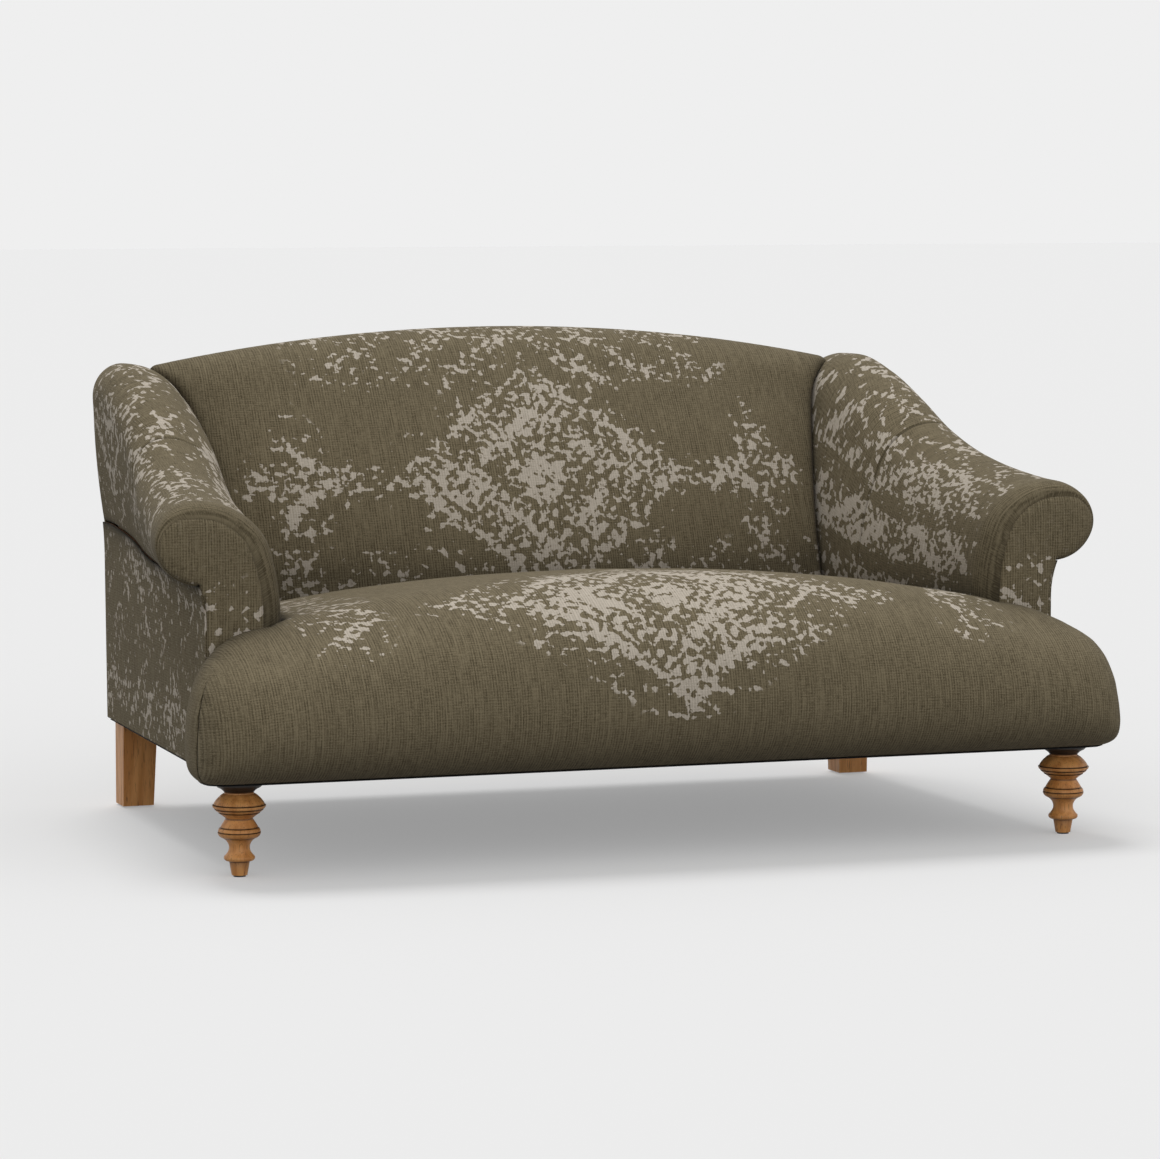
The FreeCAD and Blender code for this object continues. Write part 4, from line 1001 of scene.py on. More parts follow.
def weave_group() -> bpy.types.NodeTree:
    """Plain-woven cloth of slubby threads: their shade and their relief.

    Returns:
        The group, with the outputs Shade and Relief.
    """
    group = Group("Woven threads", {"Pitch": 0.0032}, ("Shade", "Relief"))
    pitch = group.fed("ShaderNodeCombineXYZ", [group.given("Pitch")] * 3)
    threads = group.vector("DIVIDE", group.place, pitch.outputs[0])
    warp = group.drawn_out(threads, 0.9, 0.045, 1.5, 0.6)
    weft = group.drawn_out(threads, 0.10, 0.9, 1.5, 0.6)
    strands = group.drawn_out(threads, 0.8, 0.010, 1.0, 0.6)
    flecks = group.drawn_out(threads, 0.9, 0.55, 1.0)
    clouds = group.noise(group.place, 14.0, 3.0)
    rib_pace = 0.70 * math.pi
    rib_depth, level_depth, knot_depth = 0.22, 0.10, 0.35
    warp_depth, strand_depth, fleck_depth, cloud_depth = 1.1, 0.34, 0.46, 0.22
    bright = (0.58, 0.68)
    x, y, _ = group.parts(threads)
    upright = group.maths("SINE", x * rib_pace)
    level = group.maths("SINE", y * rib_pace)
    crossing = (warp - 0.5) * warp_depth + strands.step(*bright) * strand_depth + (weft - 0.5)
    crossing = crossing + upright * rib_depth + level * level_depth
    shade = crossing + flecks.step(*bright) * fleck_depth + (clouds - 0.64) * cloud_depth + 1.0
    group.put_out("Shade", shade)
    group.put_out("Relief", upright * level * knot_depth + crossing)
    return group.tree


def print_group() -> bpy.types.NodeTree:
    """A worn, pale print of stepped lozenges, bands and small checks.

    Returns:
        The group, with the output Mask.
    """
    group = Group("Worn print", {"Cover": 0.5, "Threads": 1.0}, ("Mask",))
    place = group.wobbled(group.place, group.place, 9.0, 0.040)
    place = group.wobbled(place, group.place, 80.0, 0.012)
    x, y, _ = group.parts(place)

    # Rings of large lozenges with stepped edges, and the field inside the innermost
    stair, ring_shift, ring_pitch = 0.011, 0.05, 0.15
    half, tall = REPEAT[0] / 2, REPEAT[1] / 2
    stair_x, stair_y, _ = group.parts(group.vector("SNAP", place, (stair, stair, 1.0)))
    away = stair_x.folded(half) / half + stair_y.folded(tall) / tall
    rings = (away + ring_shift).folded(ring_pitch).step(0.095, 0.125)
    inside = away.step(0.74, 0.68)

    # Small checks, with their dots and their edges
    wide, high, check_shift = 0.031, 0.036, 0.006
    check = abs(x.folded(wide) / wide + (y + check_shift).folded(high) / high - 1.0)
    dots = check.step(0.52, 0.68)
    edges = check.step(0.24, 0.12)

    # Flowers of eight petals, each a line and a dot
    petals, petal_radius, petal_swing = 8.0, 0.034, 0.006
    flower_x = x.folded(REPEAT[0] / 10)
    flower_y = y.folded(REPEAT[1] / 8)
    reach = group.maths("SQRT", flower_x * flower_x + flower_y * flower_y)
    petal = group.maths("COSINE", group.maths("ARCTAN2", flower_y, flower_x) * petals)
    flowers = abs(reach - (petal * petal_swing + petal_radius)).step(0.0085, 0.0045)
    flowers = flowers.most(reach.step(0.016, 0.011))

    # Lines across the cloth
    line_pitch, line_shift = 0.060, 0.018
    lines = abs(y.folded(line_pitch) - line_shift).step(0.0075, 0.004) * (1.0 - inside)

    # All of them together, worn away by noise, by the piece's own cover and along the threads
    worn_scale, patch_scale = 68.0, 8.0
    motif_weight, patch_weight, cover_weight, thread_weight = 0.255, 0.42, 0.26, 0.045
    field = flowers.most(edges * 0.6) * inside
    ground = dots.most(flowers * 0.8) * 0.75
    motif = rings.most(field).most(ground.most(lines * 0.8))
    cover = group.given("Cover")
    ink = group.noise(group.place, worn_scale, 1.1) + motif * motif_weight
    ink = ink + (group.noise(group.place, patch_scale) - 0.5) * patch_weight + cover * cover_weight
    ink = ink + (group.given("Threads") - 1.0) * thread_weight
    group.put_out("Mask", ink.step(0.865, 0.925) * cover.step(0.01, 0.10))
    return group.tree


def grain_group() -> bpy.types.NodeTree:
    """Open wood grain along an axis: dark pores and broad growth bands.

    Returns:
        The group, with the outputs Bands and Pores.
    """
    group = Group("Wood grain", {"Size": 1.0}, ("Bands", "Pores"))
    sized = group.add("ShaderNodeVectorMath", operation="SCALE")
    group.feed(group.place, sized.inputs[0])
    group.feed(group.given("Size"), sized.inputs["Scale"])
    along = (1.0, 1.0, 0.07)
    band_scale, pore_scale = 75.0, 420.0
    long = group.vector("MULTIPLY", sized.outputs[0], along)
    pores = group.noise(long, pore_scale, 2.0, 0.6, flat=False)
    group.put_out("Bands", group.noise(long, band_scale, 3.0, 0.55, flat=False))
    group.put_out("Pores", pores.step(0.56, 0.68))
    return group.tree


# Finishes


@dataclass(frozen=True)
class PrintedCloth:
    """The sofa's cover: a heathered brown weave with a pale worn print, darkened towards
    near-black by painted shade in its creases.
    """

    weave: bpy.types.NodeTree
    motif: bpy.types.NodeTree
    ground: Colour = srgb(109, 99, 78)
    deep: Colour = srgb(83, 74, 56)
    pale: Colour = srgb(198, 188, 174)
    # The near-black that painted shade darkens the cloth towards in creases, tucks and seams
    hollow: Colour = srgb(20, 17, 12)
    print_strength: float = 0.96
    crease_strength: float = 0.88
    pitch: float = 0.0018
    roughness: float = 0.95
    specular: float = 0.12
    sheen: float = 0.03
    sheen_roughness: float = 0.5
    thread_limits: Point = (0.55, 1.45)
    pale_limits: Point = (0.6, 1.4)
    pale_ground: float = 0.40
    relief: Point = (0.35, 0.0008)

    def material(self) -> bpy.types.Material:
        """Makes the finish.

        Returns:
            The material.
        """
        coat = Coat("Printed cloth")
        place = coat.add("ShaderNodeUVMap", uv_map="cloth").outputs[0]
        weave = coat.placed(self.weave, Place=place, Pitch=self.pitch)
        shade = weave("Shade")
        motif = coat.placed(self.motif, Place=place, Cover=coat.held("cover"), Threads=shade)
        ground_share = coat.scaled(shade, self.thread_limits, (0.0, 1.0))
        ground = coat.mix(ground_share, self.deep, self.lighter())
        pale_share = coat.scaled(shade, self.pale_limits, (self.pale_ground, 0.0))
        pale = coat.mix(pale_share, self.pale, self.ground)
        printed = coat.mix(motif("Mask") * self.print_strength, ground, pale)
        # Painted shade: the mesh's crease value darkens the cloth where shade falls in creases,
        # tucks, seams and corners
        colour = coat.mix(coat.held("crease") * self.crease_strength, printed, self.hollow)
        coat.set(Base_Color=colour, Roughness=self.roughness, Specular_IOR_Level=self.specular)
        coat.set(Sheen_Weight=self.sheen, Sheen_Roughness=self.sheen_roughness)
        coat.relief(weave("Relief"), *self.relief)
        return coat.material

    def lighter(self) -> Colour:
        """The ground as much lighter as the deep threads are darker."""
        red, green, blue = (2 * a - b for a, b in zip(self.ground[:3], self.deep[:3]))
        return red, green, blue, 1.0


@dataclass(frozen=True)
class Oiled:
    """Oiled timber with its grain along an axis."""

    grain: bpy.types.NodeTree
    name: str
    light: Colour
    dark: Colour
    pore: Colour
    size: float = 1.0
    roughness: float = 0.42
    turn: Place = (0.0, 0.0, 0.0)
    # Near-black of the painted shade in a piece's grooves and hollows
    grime: Colour = srgb(22, 14, 8)
    band_limits: Point = (0.35, 0.68)
    pore_strength: float = 0.55
    duller: float = 0.12
    relief: Point = (0.25, 0.0004)

    def material(self) -> bpy.types.Material:
        """Makes the finish.

        Returns:
            The material.
        """
        coat = Coat(self.name)
        mapping = coat.add("ShaderNodeMapping")
        coat.feed(coat.object_place(), mapping.inputs["Vector"])
        coat.feed(self.turn, mapping.inputs["Rotation"])
        grain = coat.placed(self.grain, Place=mapping.outputs[0], Size=self.size)
        bands = grain("Bands").step(*self.band_limits)
        colour = coat.mix(bands, self.light, self.dark)
        colour = coat.mix(grain("Pores") * self.pore_strength, colour, self.pore)
        # Painted shade: darkens the wood where the piece holds it, in the leg's grooves and on its
        # neck under the seat
        coat.set(Base_Color=coat.mix(coat.held("grime"), colour, self.grime))
        gloss = (self.roughness, self.roughness + self.duller)
        coat.set(Roughness=coat.scaled(bands, (0.0, 1.0), gloss))
        coat.relief(1.0 - grain("Pores"), *self.relief)
        return coat.material


@dataclass(frozen=True)
class PlainWeave:
    """Undyed or black cloth that is hidden or seen from below."""

    weave: bpy.types.NodeTree
    name: str
    thread: Colour
    gap: Colour
    pitch: float
    roughness: float = 0.95
    thread_limits: Point = (0.5, 1.5)
    relief: Point = (0.4, 0.0006)

    def material(self) -> bpy.types.Material:
        """Makes the finish.

        Returns:
            The material.
        """
        coat = Coat(self.name)
        weave = coat.placed(self.weave, Place=coat.object_place(), Pitch=self.pitch)
        share = coat.scaled(weave("Shade"), self.thread_limits, (0.0, 1.0))
        coat.set(Base_Color=coat.mix(share, self.gap, self.thread), Roughness=self.roughness)
        coat.relief(weave("Relief"), *self.relief)
        return coat.material


@dataclass(frozen=True)
class Mottled:
    """Foam, nylon or metal with a fine mottle in its colour and gloss."""

    name: str
    base: Colour
    shade: Colour
    roughness: float
    metal: float = 0.0
    grain: float = 260.0
    detail: Point = (3.0, 0.6)
    limits: Point = (0.3, 0.7)
    gloss_spread: float = 0.06
    relief: Point = (0.3, 0.0003)

    def material(self) -> bpy.types.Material:
        """Makes the finish.

        Returns:
            The material.
        """
        coat = Coat(self.name)
        mottle = coat.noise(coat.object_place(), self.grain, *self.detail, flat=False)
        gloss = (self.roughness - self.gloss_spread, self.roughness + self.gloss_spread)
        coat.set(
            Base_Color=coat.mix(mottle.step(*self.limits), self.base, self.shade),
            Roughness=coat.scaled(mottle, self.limits, gloss),
            Metallic=self.metal,
        )
        coat.relief(mottle, *self.relief)
        return coat.material


class Finishes:
    """Every finish on the sofa, made once."""

    def __init__(self) -> None:
        """Builds the shared groups and the materials."""
        weave = weave_group()
        grain = grain_group()
        lying = (0.0, math.pi / 2, 0.0)
        self.cover = PrintedCloth(weave, print_group()).material()
        finishes = {
            "turned_oak": Oiled(
                grain, "Oiled oak", srgb(216, 154, 88), srgb(190, 126, 64), srgb(92, 54, 24)
            ),
            "beech": Oiled(
                grain, "Beech", srgb(214, 180, 138), srgb(194, 156, 114), srgb(160, 120, 84),
                0.8, 0.6, lying,
            ),
            "plywood": Oiled(
                grain, "Birch plywood", srgb(222, 196, 156), srgb(200, 168, 124),
                srgb(170, 136, 96), 0.5, 0.65,
            ),
            "hardboard": Oiled(
                grain, "Hardboard", srgb(126, 88, 58), srgb(110, 76, 50), srgb(84, 56, 36),
                2.0, 0.7,
            ),
            "hessian": PlainWeave(
                weave, "Hessian", srgb(182, 150, 104), srgb(120, 92, 58), 0.0028
            ),
            "webbing": PlainWeave(weave, "Webbing", srgb(58, 52, 46), srgb(150, 128, 92), 0.0022),
            "dust_cloth": PlainWeave(
                weave, "Dust cloth", srgb(40, 39, 38), srgb(18, 18, 18), 0.0012
            ),
            "foam": Mottled("Foam", srgb(232, 216, 176), srgb(214, 194, 150), 0.9),
            "nylon": Mottled("Nylon", srgb(64, 62, 60), srgb(50, 48, 47), 0.45),
            "spring_steel": Mottled(
                "Spring steel", srgb(120, 120, 122), srgb(92, 92, 95), 0.35, 1.0
            ),
            "zinc_steel": Mottled(
                "Zinc steel", srgb(176, 178, 182), srgb(148, 150, 156), 0.32, 1.0
            ),
        }
        self.by_slot = {slot: finish.material() for slot, finish in finishes.items()}


def dress(item: bpy.types.Object, material: bpy.types.Material) -> None:
    """Puts one finish on a whole piece."""
    item.data.materials.clear()
    item.data.materials.append(material)


# Upholstery


def cover_piece(
    item: bpy.types.Object, finishes: Finishes, depth: float, fill: float, *nodes: str
) -> None:
    """Makes a panel a padded piece in the cover cloth.

    Args:
        item: the panel's sheet.
        finishes: the sofa's finishes.
        depth: how thick it is.
        fill: how full the soft piece is; not used.
        nodes: the frame's nodes that it stands for.
    """
    thicken(item, depth)
    dress(item, finishes.cover)
    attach(item, "root")
    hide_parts(*nodes)


@dataclass(frozen=True)
class ArmUpholstery:
    """The arms' padded tops and inner faces, their facings and their outer panels."""

    form: ArmForm = ArmForm()
    seat: SeatForm = SeatForm()
    edge_radius: float = 0.008
    hem_radius: float = 0.006
    seam_depth: float = 0.0036
    seam_reach: float = 0.0024
    seam_room: float = 0.008
    cross_seam_share: float = 0.523
    lean_start: float = 0.30
    band_shares: tuple[Point, ...] = ((0.43, 0.585), (0.625, 0.745), (0.785, 0.885))
    band_strengths: tuple[float, ...] = (0.80, 1.20, 0.85)
    band_edge: float = 0.010
    outer_strength: float = 0.62
    outer_shares: Point = (0.22, 0.16)
    least_print: float = 0.08
    most_print: float = 0.90
    front_fade_shares: Point = (0.035, 0.085)
    rear_fade_shares: Point = (0.90, 1.0)
    rear_fade: float = 0.5
    print_start: Point = (2 * REPEAT[0], 0.14)
    gather: float = 0.6
    gather_shares: Point = (0.35, 0.65)
    # Painted shade under the roll's hem, down by the seat's deck and along the cross seam
    hem_shade: Shade = Shade(0.85, 0.009)
    deck_shade: Shade = Shade(0.62, 0.085)
    seam_shade: Shade = Shade(0.70, 0.0025)
    deck_line: float = 0.66
    deck_front_height: float = 0.44
    pad_depth: float = 0.022
    row_step: float = 0.0065
    facing_inset: float = 0.004
    facing_lip: float = 0.003
    facing_crown: float = 0.005
    facing_reach: float = 0.035
    facing_crown_heights: Point = (0.36, 0.47)
    facing_print: float = 0.60
    facing_least_print: float = 0.02
    facing_print_heights: Point = (0.44, 0.53)
    facing_net: float = 0.008
    rim_points: int = 120
    flare_points: int = 8
    panel_depth: float = 0.0026
    panel_radius: float = 0.0018
    panel_belly: float = 0.002
    panel_print_start: float = 5 * REPEAT[0]
    panel_least_print: float = 0.06
    panel_print: float = 0.46
    panel_print_heights: Point = (0.36, 0.48)
    panel_print_fade: Point = (0.60, 1.05)
    panel_band: float = 0.7
    panel_band_heights: Point = (0.25, 0.05)
    panel_band_fade: Point = (0.02, 0.20)
    # Painted shade just under the roll: a sharp line and a wider fall-off
    panel_shades: tuple[Shade, Shade] = (Shade(0.90, 0.008), Shade(0.25, 0.030))

    @property
    def seam(self) -> float:
        """Where the seam crosses the arm."""
        return self.form.footprint.facing + self.form.length * self.cross_seam_share

    def columns(self) -> list[float]:
        """Places along the arm for the pad's lines of vertices.

        Returns:
            The places, from the facing to the outside back.
        """
        start = self.form.footprint.facing
        end = self.form.footprint.rear
        front = start + self.edge_radius
        padding = start + self.form.length * self.form.padding_run_share
        before = self.seam - self.seam_room
        after = self.seam + self.seam_room
        rear = end - self.edge_radius
        return stops(
            (start, front, 0.0012), (front, padding, 0.004), (padding, before, 0.010),
            (before, after, 0.001), (after, rear, 0.010), (rear, end, 0.0015),
        )

    def pad(self) -> bpy.types.Object:
        """The padded arm from the crease over the top to the seat's deck.

        Returns:
            The right arm's pad as a sheet.
        """
        form = self.form
        start = form.footprint.facing
        end = form.footprint.rear
        places = self.columns()
        lines = [form.section(y) for y in places]
        rows = math.ceil(lines[-1].length / self.row_step)
        usual = lines[len(lines) // 2].length
        panel = Panel("right_arm_pad", len(places), rows)

        def surface(column: int, row: int) -> Vertex:
            """The vertex at a column and row."""
            y = places[column]
            line = lines[column]
            distance = line.length * row / (rows - 1)
            around = distance / line.length
            x, z = line.at(distance)
            out_x, out_z = line.outward(distance)
            inset = quarter_round(y - start, self.edge_radius)
            inset += quarter_round(end - y, self.edge_radius)
            inset += quarter_round(distance, self.hem_radius)
            inset += self.seam_depth * hump(y, self.seam, self.seam_reach)
            x -= out_x * inset
            z -= out_z * inset
            share = max((y - self.lean_start) / (end - self.lean_start), 0.0)
            y -= share * (end - form.footprint.rear_plane(z))
            # Painted shade under the roll, along the cross seam and down towards the seat's deck
            crease = self.hem_shade.at(distance)
            crease += self.seam_shade.strength * hump(y, self.seam, self.seam_shade.reach)
            crease = max(crease, self.deck_shade.at(z - self.deck_height(y)))
            lost = self.gather * ease(around, *self.gather_shares) * (line.length - usual)
            cloth = (y + self.print_start[0], distance - lost + self.print_start[1])
            cover = self.wear(form.run(y), around)
            return Vertex((x, y, z), cloth, cover, min(crease, 1.0))

        panel.map(surface)
        middle_x = (form.stem_half + form.inner_half) / 2
        middle_z = form.crease_height
        return panel.done(lambda place: Vector((place.x - middle_x, 0.0, place.z - middle_z)))

    def deck_height(self, y: float) -> float:
        """Height of the seat beside the arm."""
        points = self.seat.section(self.deck_line).points
        upper = points[len(points) // 2:]
        if y < upper[0][0]:
            return self.deck_front_height
        return next((z for place, z in upper if place >= y), upper[-1][1])

    def wear(self, run: float, around: float) -> float:
        """How much of the print shows on the pad.

        Args:
            run: the share along the arm.
            around: the share round it from the crease.

        Returns:
            0 for bare cloth and 1 for the full print.
        """
        inner = 0.0
        edge = self.band_edge
        for (low, high), strength in zip(self.band_shares, self.band_strengths):
            inner += strength * ease(around, low, low + edge) * ease(around, high, high - edge)
        outer = self.outer_strength * hump(around, *self.outer_shares)
        rear = 1.0 - self.rear_fade * ease(run, *self.rear_fade_shares)
        front = ease(run, *self.front_fade_shares)
        return (self.least_print + self.most_print * max(inner, outer)) * rear * front

    def facing_outline(self) -> Outline:
        """The facing's edge, from the outer foot up round the roll and down to the inner foot.

        Returns:
            The edge in X and Z.
        """
        form = self.form
        front = form.footprint.facing
        rim = form.section(front)
        points = []
        for k in range(self.rim_points + 1):
            distance = rim.length * k / self.rim_points
            x, z = rim.at(distance)
            out_x, out_z = rim.outward(distance)
            points.append((x - out_x * self.facing_inset, z - out_z * self.facing_inset))
        stem = form.stem_half - form.footprint.cover
        foot = form.footprint.base
        outer = [(stem, foot)]
        for k in range(self.flare_points + 1):
            z = form.crease_height - form.flare_reach * (1.0 - k / self.flare_points)
            outer.append((stem + form.flare_at(front, z), z))
        room = 3 * MM
        first = next(k for k, point in enumerate(points) if point[1] > outer[-1][1] + room)
        return Outline(outer + points[first:] + [(points[-1][0], foot)])

    def facing(self) -> bpy.types.Object:
        """The flat panel on the front of the arm, gently crowned inside its seam.

        Returns:
            The right arm's facing as a sheet.
        """
        front = self.form.footprint.facing + MM

        def lift(point: Point, depth: float) -> Place:
            """A vertex's place, by its way in from the seam."""
            x, z = point
            rise = 1.0 - (1.0 - min(depth / self.facing_reach, 1.0)) ** 2
            rise *= self.facing_crown * ease(z, *self.facing_crown_heights)
            lip = self.facing_lip - quarter_round(depth, self.facing_lip)
            return x, front - lip - rise, z

        def wear(point: Point) -> float:
            """The print below the roll."""
            shown = 1.0 - ease(point[1], *self.facing_print_heights)
            return self.facing_print * shown + self.facing_least_print

        return flat_panel(
            "right_arm_facing", self.facing_outline(), self.facing_net, lift, wear,
            Vector((0.0, -1.0, 0.0)),
        )

    def outside(self) -> bpy.types.Object:
        """The stretched panel on the outer face, from the frame to the crease.

        Returns:
            The right arm's outer panel as a sheet.
        """
        form = self.form
        start = form.footprint.facing
        end = form.footprint.rear
        base = form.footprint.base
        front = start + 8 * MM
        rear = end - 4 * MM
        places = stops((start, front, 0.0016), (front, rear, 0.012), (rear, end, 0.001))
        shares = stops((0.0, 0.02, 0.004), (0.02, 0.96, 0.03), (0.96, 1.0, 0.01))
        panel = Panel("right_outside_arm", len(places), len(shares))

        def surface(column: int, row: int) -> Vertex:
            """The vertex at a column and row."""
            nominal = places[column]
            top = form.crease_at(nominal)
            z = blend(base, top, shares[row])
            fit = (nominal - start) / (end - start)
            y = nominal - fit * (end - form.footprint.rear_plane(z))
            x = form.stem_at(y) + form.flare_at(nominal, z)
            x -= quarter_round(nominal - start, self.panel_radius)
            x -= quarter_round(z - base, self.panel_radius)
            x += self.panel_belly * math.sin(math.pi * fit) * math.sin(math.pi * shares[row])
            upper = ease(z, *self.panel_print_heights)
            upper *= 1.0 - ease(fit, *self.panel_print_fade)
            band = hump(z, *self.panel_band_heights) * ease(fit, *self.panel_band_fade)
            cover = max(self.panel_least_print + self.panel_print * upper, self.panel_band * band)
            # Painted shade under the roll
            crease = sum(shade.at(top - z) for shade in self.panel_shades)
            cloth = (y + self.panel_print_start, z)
            return Vertex((x, y, z), cloth, cover, min(crease, 1.0))

        panel.map(surface)
        return panel.done(lambda _: Vector((1.0, 0.0, 0.0)))

    def build(self, finishes: Finishes) -> None:
        """Makes all three pieces on both sides."""
        pad = self.pad()
        facing = self.facing()
        outside = self.outside()
        for side in Side:
            name = side.label
            covers = (f"{name}_arm_cover", f"{name}_arm_foam")
            cover_piece(on_side(side, pad), finishes, self.pad_depth, 0.8, *covers)
            item = on_side(side, facing)
            cover_piece(item, finishes, self.panel_depth, 0.9, f"{name}_arm_facing_cover")
            item = on_side(side, outside)
            cover_piece(item, finishes, self.panel_depth, 0.9, f"{name}_outside_arm_cover")
            log.info("%s arm upholstered", name)


@dataclass(frozen=True)
class BackUpholstery:
    """The padded inside back and the flat outside back."""

    form: BackForm = BackForm()
    arm: ArmForm = ArmForm()
    pad_depth: float = 0.030
    panel_depth: float = 0.0026
    clear: float = 0.004
    tuck: float = 0.018
    row_step: float = 0.008
    knots: int = 24
    narrowest: float = 0.50
    widest: float = 0.86
    stride: float = 0.02
    halvings: int = 6
    motif_height: float = 0.37
    middle_print: Lozenge = Lozenge(0.92, 0.36, 0.30)
    side_print: Lozenge = Lozenge(0.72, 0.13, 0.17)
    side_print_half: float = 0.47
    foot_print: float = 0.50
    foot_print_heights: Point = (0.17, 0.25)
    brow_print: float = 0.42
    brow_print_heights: Point = (0.55, 0.62)
    brow_print_fade: Point = (0.30, 0.50)
    print_start: Point = (8 * REPEAT[0], 9 * REPEAT[1])
    deck_height: float = 0.465
    # Painted shade at the back's foot by the seat, and where it tucks in beside the arms
    deck_shade: Shade = Shade(0.55, 0.070)
    tuck_shades: tuple[Shade, Shade] = (Shade(0.80, 0.008), Shade(0.28, 0.035))
    seam_points: int = 60
    outside_net: float = 0.022
    puff: float = 0.0015
    puff_reach: float = 0.10
    outside_radius: float = 0.002
    outside_print: float = 0.45
    outside_print_heights: Point = (0.55, 0.20)
    outside_print_fade: Point = (0.5, 0.8)

    def reach(self, share: float) -> float:
        """How far out the inside back goes, at a share of the way up, before it meets the arm."""

        def inside(x: float) -> bool:
            """Whether the back at a place across is inside the arm."""
            line = self.form.section(round(x, 3))
            y, z = line.at(line.length * share)
            return self.arm.body(y).holds((x, z))

        low = self.narrowest
        while not inside(low + self.stride):
            low += self.stride
            if low > self.widest - self.stride:
                return self.widest
        high = low + self.stride
        for _ in range(self.halvings):
            middle = (low + high) / 2
            if inside(middle):
                high = middle
            else:
                low = middle
        return low - self.clear

    def pad(self) -> bpy.types.Object:
        """The inside back, tucked in where it meets the arms and rolled over its top edge.

        Returns:
            The pad as a sheet.
        """
        knots = [k / self.knots for k in range(self.knots + 1)]
        line = SmoothLine(knots, [self.reach(share) for share in knots])
        rows = math.ceil(self.form.section(0.0).length / self.row_step)
        half = stops((0.0, 0.90, 0.012), (0.90, 0.985, 0.006), (0.985, 1.0, 0.003))
        shares = [-value for value in half[:0:-1]] + half
        panel = Panel("back_pad", len(shares), rows)

        def surface(column: int, row: int) -> Vertex:
            """The vertex at a column and row."""
            share = row / (rows - 1)
            end = line.at(share)
            x = shares[column] * end
            gap = end - abs(x)
            rib = self.form.section(round(abs(x), 3))
            climb = rib.length * share
            y, z = rib.at(climb)
            out_y, out_z = rib.outward(climb)
            fold = quarter_round(gap, self.tuck)
            y += out_y * fold
            z += out_z * fold
            # Painted shade where the back tucks in and at its foot
            crease = sum(shade.at(gap) for shade in self.tuck_shades)
            crease = max(crease, self.deck_shade.at(z - self.deck_height))
            cloth = (x + self.print_start[0], climb - self.motif_height + self.print_start[1])
            return Vertex((x, y, z), cloth, self.wear(x, climb), min(crease, 1.0))

        panel.map(surface)
        return panel.done(lambda _: Vector((0.0, -1.0, 0.5)))

    def wear(self, x: float, height: float) -> float:
        """How much of the print shows on the inside back.

        Args:
            x: the place across.
            height: the length up the cloth.

        Returns:
            0 for bare cloth and 1 for the full print.
        """
        climb = height - self.motif_height
        middle = self.middle_print.at(x, climb)
        sides = self.side_print.at(abs(x) - self.side_print_half, climb)
        foot = self.foot_print * (1.0 - ease(height, *self.foot_print_heights))
        brow = self.brow_print * ease(height, *self.brow_print_heights)
        brow *= 1.0 - ease(abs(x), *self.brow_print_fade)
        return max(middle, sides, foot, brow)

    def outline(self) -> Outline:
        """The edge of the outside back: up the arms' ends, over the rolls and the arched top.

        Returns:
            The edge in X and Z.
        """
        footprint = self.form.footprint
        rim = self.arm.section(footprint.rear)
        stem = self.arm.stem_rear_half

        def seam(x: float) -> float:
            """Height of the top seam."""
            return self.form.top_at(x) - footprint.edge_drop

        right = [(stem, footprint.base), (stem, rim.points[0][1])]
        for x, z in rim.points:
            if x < self.arm.ridge_rear_half and z < seam(x):
                break
            right.append((x, z))
        start = right[-1][0]
        for k in range(1, self.seam_points):
            x = start * (1.0 - k / self.seam_points)
            right.append((x, seam(x)))
        left = [(-x, z) for x, z in right[::-1]]
        return Outline(right + [(0.0, seam(0.0))] + left)

    def outside(self) -> bpy.types.Object:
        """The panel that closes the rear.

        Returns:
            The panel as a sheet.
        """

        def lift(point: Point, depth: float) -> Place:
            """A vertex's place, by its way in from the edge."""
            x, z = point
            y = self.form.footprint.rear_plane(z) - quarter_round(depth, self.outside_radius)
            return x, y + self.puff * (min(depth / self.puff_reach, 1.0) - 1.0), z

        def wear(point: Point) -> float:
            """A faint band of the print across the middle."""
            band = self.outside_print * hump(point[1], *self.outside_print_heights)
            return band * (1.0 - ease(abs(point[0]), *self.outside_print_fade))

        return flat_panel(
            "outside_back", self.outline(), self.outside_net, lift, wear, Vector((0.0, 1.0, 0.0))
        )

    def build(self, finishes: Finishes) -> None:
        """Makes both panels."""
        covers = ("inside_back_cover", "back_foam")
        cover_piece(self.pad(), finishes, self.pad_depth, 0.8, *covers)
        cover_piece(self.outside(), finishes, self.panel_depth, 0.9, "outside_back_cover")
        log.info("back upholstered")


